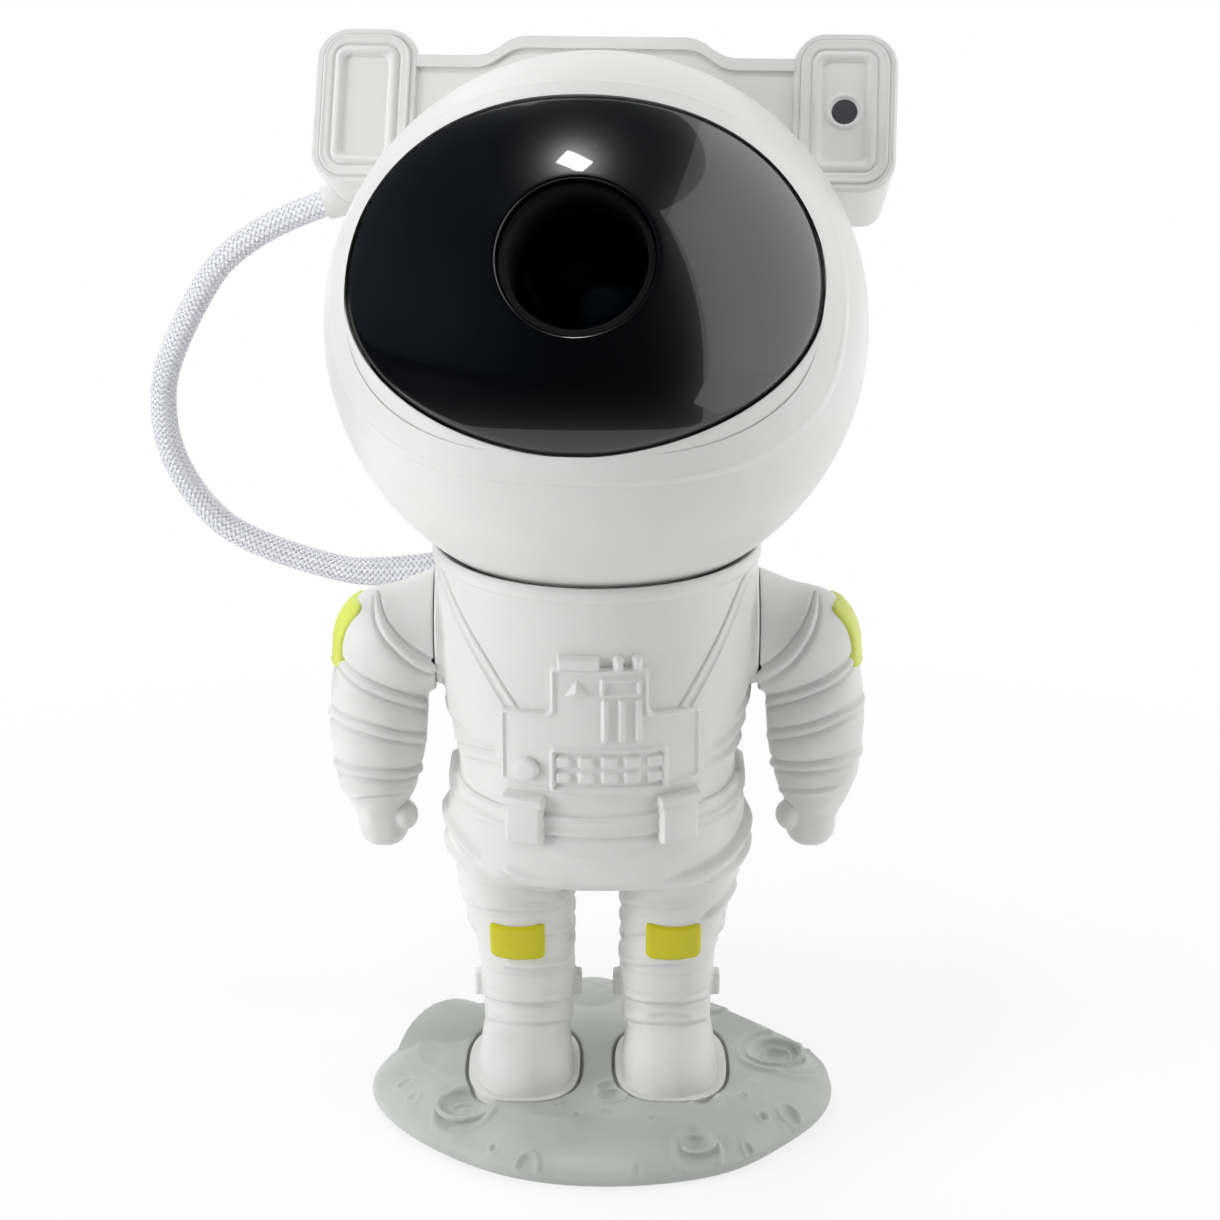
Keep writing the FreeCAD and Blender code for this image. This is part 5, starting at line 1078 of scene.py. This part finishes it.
# ---- braided hose
ROUTE = [(-28.3, 33, 108.4), (-36, 32.8, 107.5), (-46, 32.3, 107), (-54.5, 31.8, 107.8), (-74, 31.2, 114.7),
         (-82.2, 31.1, 122.1), (-87.8, 31, 132.1), (-89.6, 31.1, 141.6), (-88.5, 31.3, 152.3),
         (-78.8, 31.8, 170.7), (-72.2, 31.9, 176.9), (-63, 31.7, 182.3), (-54.5, 31.3, 185.4)]
ROUTE = [Vector(point) for point in ROUTE]
STRANDS = 12
LAY = 14.0  # length in which a yarn goes once round
HOSE_RADIUS, FLARE, FLARE_LENGTH = 2.55, 0.75, 30
WALK_STEP = 0.21
CORE_STEP = 4
# The stretches part at midpoints of the route's legs, which leaves the whole line as it is.
FIRST_JOINT = (ROUTE[4] + ROUTE[5]) / 2
SECOND_JOINT = (ROUTE[8] + ROUTE[9]) / 2
STRETCHES = [
    ("hose_lower", ROUTE[:5] + [FIRST_JOINT], (FIGURE, "neck_swivel"), 0.0524),
    ("hose_middle", [FIRST_JOINT] + ROUTE[5:9] + [SECOND_JOINT], ("neck_swivel", "neck_cradle"), 0.0477),
    ("hose_upper", [SECOND_JOINT] + ROUTE[9:], ("neck_cradle", "head"), 0.0391),
]


def spline_points(name, points):
    """Points in millimetres along the smooth line that the route's points control."""
    curve = bpy.data.curves.new(name, "CURVE")
    curve.dimensions = "3D"
    spline = curve.splines.new("NURBS")
    spline.points.add(len(points) - 1)
    for item, point in zip(spline.points, points):
        item.co = (*point, 1)
    spline.order_u = 3
    spline.use_endpoint_u = True
    spline.resolution_u = 48
    holder = bpy.data.objects.new(name + "_line", curve)
    mesh = bpy.data.meshes.new_from_object(holder)
    line = np.array([v.co for v in mesh.vertices], float)
    bpy.data.objects.remove(holder)
    return line


def walk(line, step, side):
    """Evenly spaced points along a line, with two steady cross directions and the distance gone."""
    gone = np.concatenate([[0], np.cumsum(np.linalg.norm(np.diff(line, axis=0), axis=1))])
    spots = np.linspace(0, gone[-1], int(gone[-1] / step) + 2)
    points = np.stack([np.interp(spots, gone, line[:, i]) for i in range(3)], -1)
    ahead = np.gradient(points, axis=0)
    ahead /= np.linalg.norm(ahead, axis=1)[:, None]
    sides = np.zeros_like(points)
    for i, direction in enumerate(ahead):
        side = side - direction * side.dot(direction)
        side = side / np.linalg.norm(side)
        sides[i] = side
    return points, sides, np.cross(ahead, sides), spots


def hose_radius(gone):
    """The braid opens out toward its lower end."""
    share = unit(1 - gone / FLARE_LENGTH)
    return HOSE_RADIUS + FLARE * share * share * (3 - 2 * share)


def tube_mesh(points, sides, ups, radius, segments=28):
    """Closed tube round a walked line."""
    angle = np.linspace(0, 2 * math.pi, segments + 1)[:-1]
    out = sides[:, None] * np.cos(angle)[None, :, None] + ups[:, None] * np.sin(angle)[None, :, None]
    shell = points[:, None] + out * radius[:, None, None]
    quads = grid_quads(len(points), segments, False, True)
    return shell.reshape(-1, 3), np.vstack([quads, end_caps(len(points), segments)])


def braid_mesh(points, sides, ups, gone, radius):
    """Yarns wound both ways, each passing over and under those that cross it."""
    turn = 2 * math.pi / LAY
    blocks, faces = [], []
    profile = ((-0.48, 0.0), (0.0, 0.13), (0.48, 0.0), (0.0, -0.12))
    ahead = np.cross(sides, ups)
    for way in (1, -1):
        for number in range(STRANDS):
            angle = 2 * math.pi * number / STRANDS + way * turn * gone
            lift = 0.08 * way * np.cos(STRANDS * turn * gone)
            out = sides * np.cos(angle)[:, None] + ups * np.sin(angle)[:, None]
            across = np.cross(ahead, out) - ahead * (way * turn * radius)[:, None]
            across /= np.linalg.norm(across, axis=1)[:, None]
            ring = [points + out * (radius + lift + rise)[:, None] + across * wide for wide, rise in profile]
            start = sum(len(block) for block in blocks)
            blocks.append(np.stack(ring, 1).reshape(-1, 3))
            strand = np.vstack([grid_quads(len(points), 4, False, True), end_caps(len(points), 4)])
            faces.append(outward(blocks[-1], strand) + start)
    return np.vstack(blocks), np.vstack(faces)


def add_hose():
    """Three stretches in line, each a core tube under its braid of yarns."""
    side = np.array((0.0, 1.0, 0.0))
    total = 0.0
    for label, route, bodies, length in STRETCHES:
        points, sides, ups, gone = walk(spline_points(label, route), WALK_STEP, side)
        side = sides[-1]
        gone = gone + total
        radius = hose_radius(gone)
        keep = list(range(0, len(points), CORE_STEP))
        if keep[-1] != len(points) - 1:
            keep.append(len(points) - 1)
        core_points, core_quads = tube_mesh(points[keep], sides[keep], ups[keep], radius[keep] - 0.05)
        core_quads = outward(core_points, core_quads)
        core = add_mesh(f"{label}_core", core_points, core_quads, "hose_braid", None, (label,))
        yarn_points, yarn_quads = braid_mesh(points, sides, ups, gone, radius)
        braid = add_mesh(f"{label}_yarns", yarn_points, yarn_quads, "hose_braid", None)
        for piece in (core, braid):
            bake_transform(piece)
        core.data.materials[0] = MATERIALS["hose_core"]
        total = gone[-1]


add_hose()


# ---- moon base
CRATERS = [  # x, y, radius of the ring, height of its rim, depth inside
    (38.6, 4.4, 9.2, 0.5, 0.0), (37.6, 4, 6.2, 0.45, 0.5), (37.5, 4, 3.4, 0.3, 0.2), (-27, -18.2, 6.4, 0.5, 0.0),
    (-27, -17.6, 2.6, 0.35, 0.0), (3, -12.6, 3.2, 0.5, 0.55), (22, -15.2, 3.6, 0.5, 0.6), (20, -32, 4.6, 0.5, 0.35),
    (39.3, -16.5, 2.3, 0.45, 0.5), (33.7, -19.6, 1.3, 0.35, 0.4), (30.3, -28.6, 1.2, 0.3, 0.35),
    (-14, -35, 2.3, 0.45, 0.5), (-40, -6, 1.6, 0.3, 0.3), (-37.9, -11.1, 1.3, 0.3, 0.3), (-20.7, -30.2, 1.0, 0.3, 0.3),
    (-22, 30, 3.4, 0.45, 0.5), (24, 27, 4.0, 0.45, 0.5), (6, 38, 2.4, 0.35, 0.4), (8, -37, 1.2, 0.25, 0.3),
    (-4, -24, 1.0, 0.25, 0.25), (1.5, -22, 0.7, 0.25, 0.2), (-33, -27, 1.1, 0.25, 0.3), (30.3, -14.8, 0.8, 0.25, 0.25),
    (11, -25, 0.8, 0.3, 0.2), (-8, -19.5, 0.8, 0.25, 0.2), (44, 12, 1.2, 0.25, 0.25)]


BUMPS = 150


def ground(x, y):
    """Height of craters, bumps and pits over the base's top."""
    height = np.zeros_like(x)
    for cx, cy, radius, rim, depth in CRATERS:
        r = np.hypot(x - cx, y - cy)
        height += 1.2 * rim * bell(r - radius, 0.35 + 0.045 * radius)
        height -= depth * np.exp(-(r / (0.7 * radius)) ** 4)
    height += 0.6 * bell(np.hypot(x + 27, y + 17.6), 1.0)
    rng = np.random.default_rng(11)
    for _ in range(BUMPS):
        cx, cy = rng.uniform(-46, 46), rng.uniform(-44, 44)
        size, tall = rng.uniform(0.7, 2.6), rng.uniform(-0.22, 0.26)
        height += tall * np.exp(-(((x - cx) ** 2 + (y - cy) ** 2) / size ** 2) ** 1.5)
    return height


def add_base():
    """The base's own solid, evened out and then cast with craters and bumps."""
    node = frame["nodes"]["moon_base"]
    node.data.calc_loop_triangles()
    corners = np.array([node.matrix_world @ v.co for v in node.data.vertices]) / MM
    triangles = np.array([t.vertices for t in node.data.loop_triangles], np.int32)
    grid = openvdb.FloatGrid.createLevelSetFromPolygons(
        corners.astype(np.float32), triangles=triangles, transform=openvdb.createLinearTransform(0.36), halfWidth=3)
    points, quads = grid.convertToQuads(0.0)
    skin = Skin(points, outward(np.array(points, float), quads))
    p, up = skin.points, skin.normals[:, 2]
    from_boots = np.minimum(np.hypot((np.abs(p[:, 0]) - 15.3) / 13.0, (p[:, 1] + 1) / 19.0), 9) - 1
    open_ground = unit(from_boots / 0.12)
    share = unit((up - 0.15) / 0.4) * unit((p[:, 2] - 2.2) / 1.5) * open_ground
    skin.push += share * ground(p[:, 0], p[:, 1])
    add_mesh("moon_ground", skin.shape(), skin.quads, "moon_grey", FIGURE, ("moon_base",))


add_base()
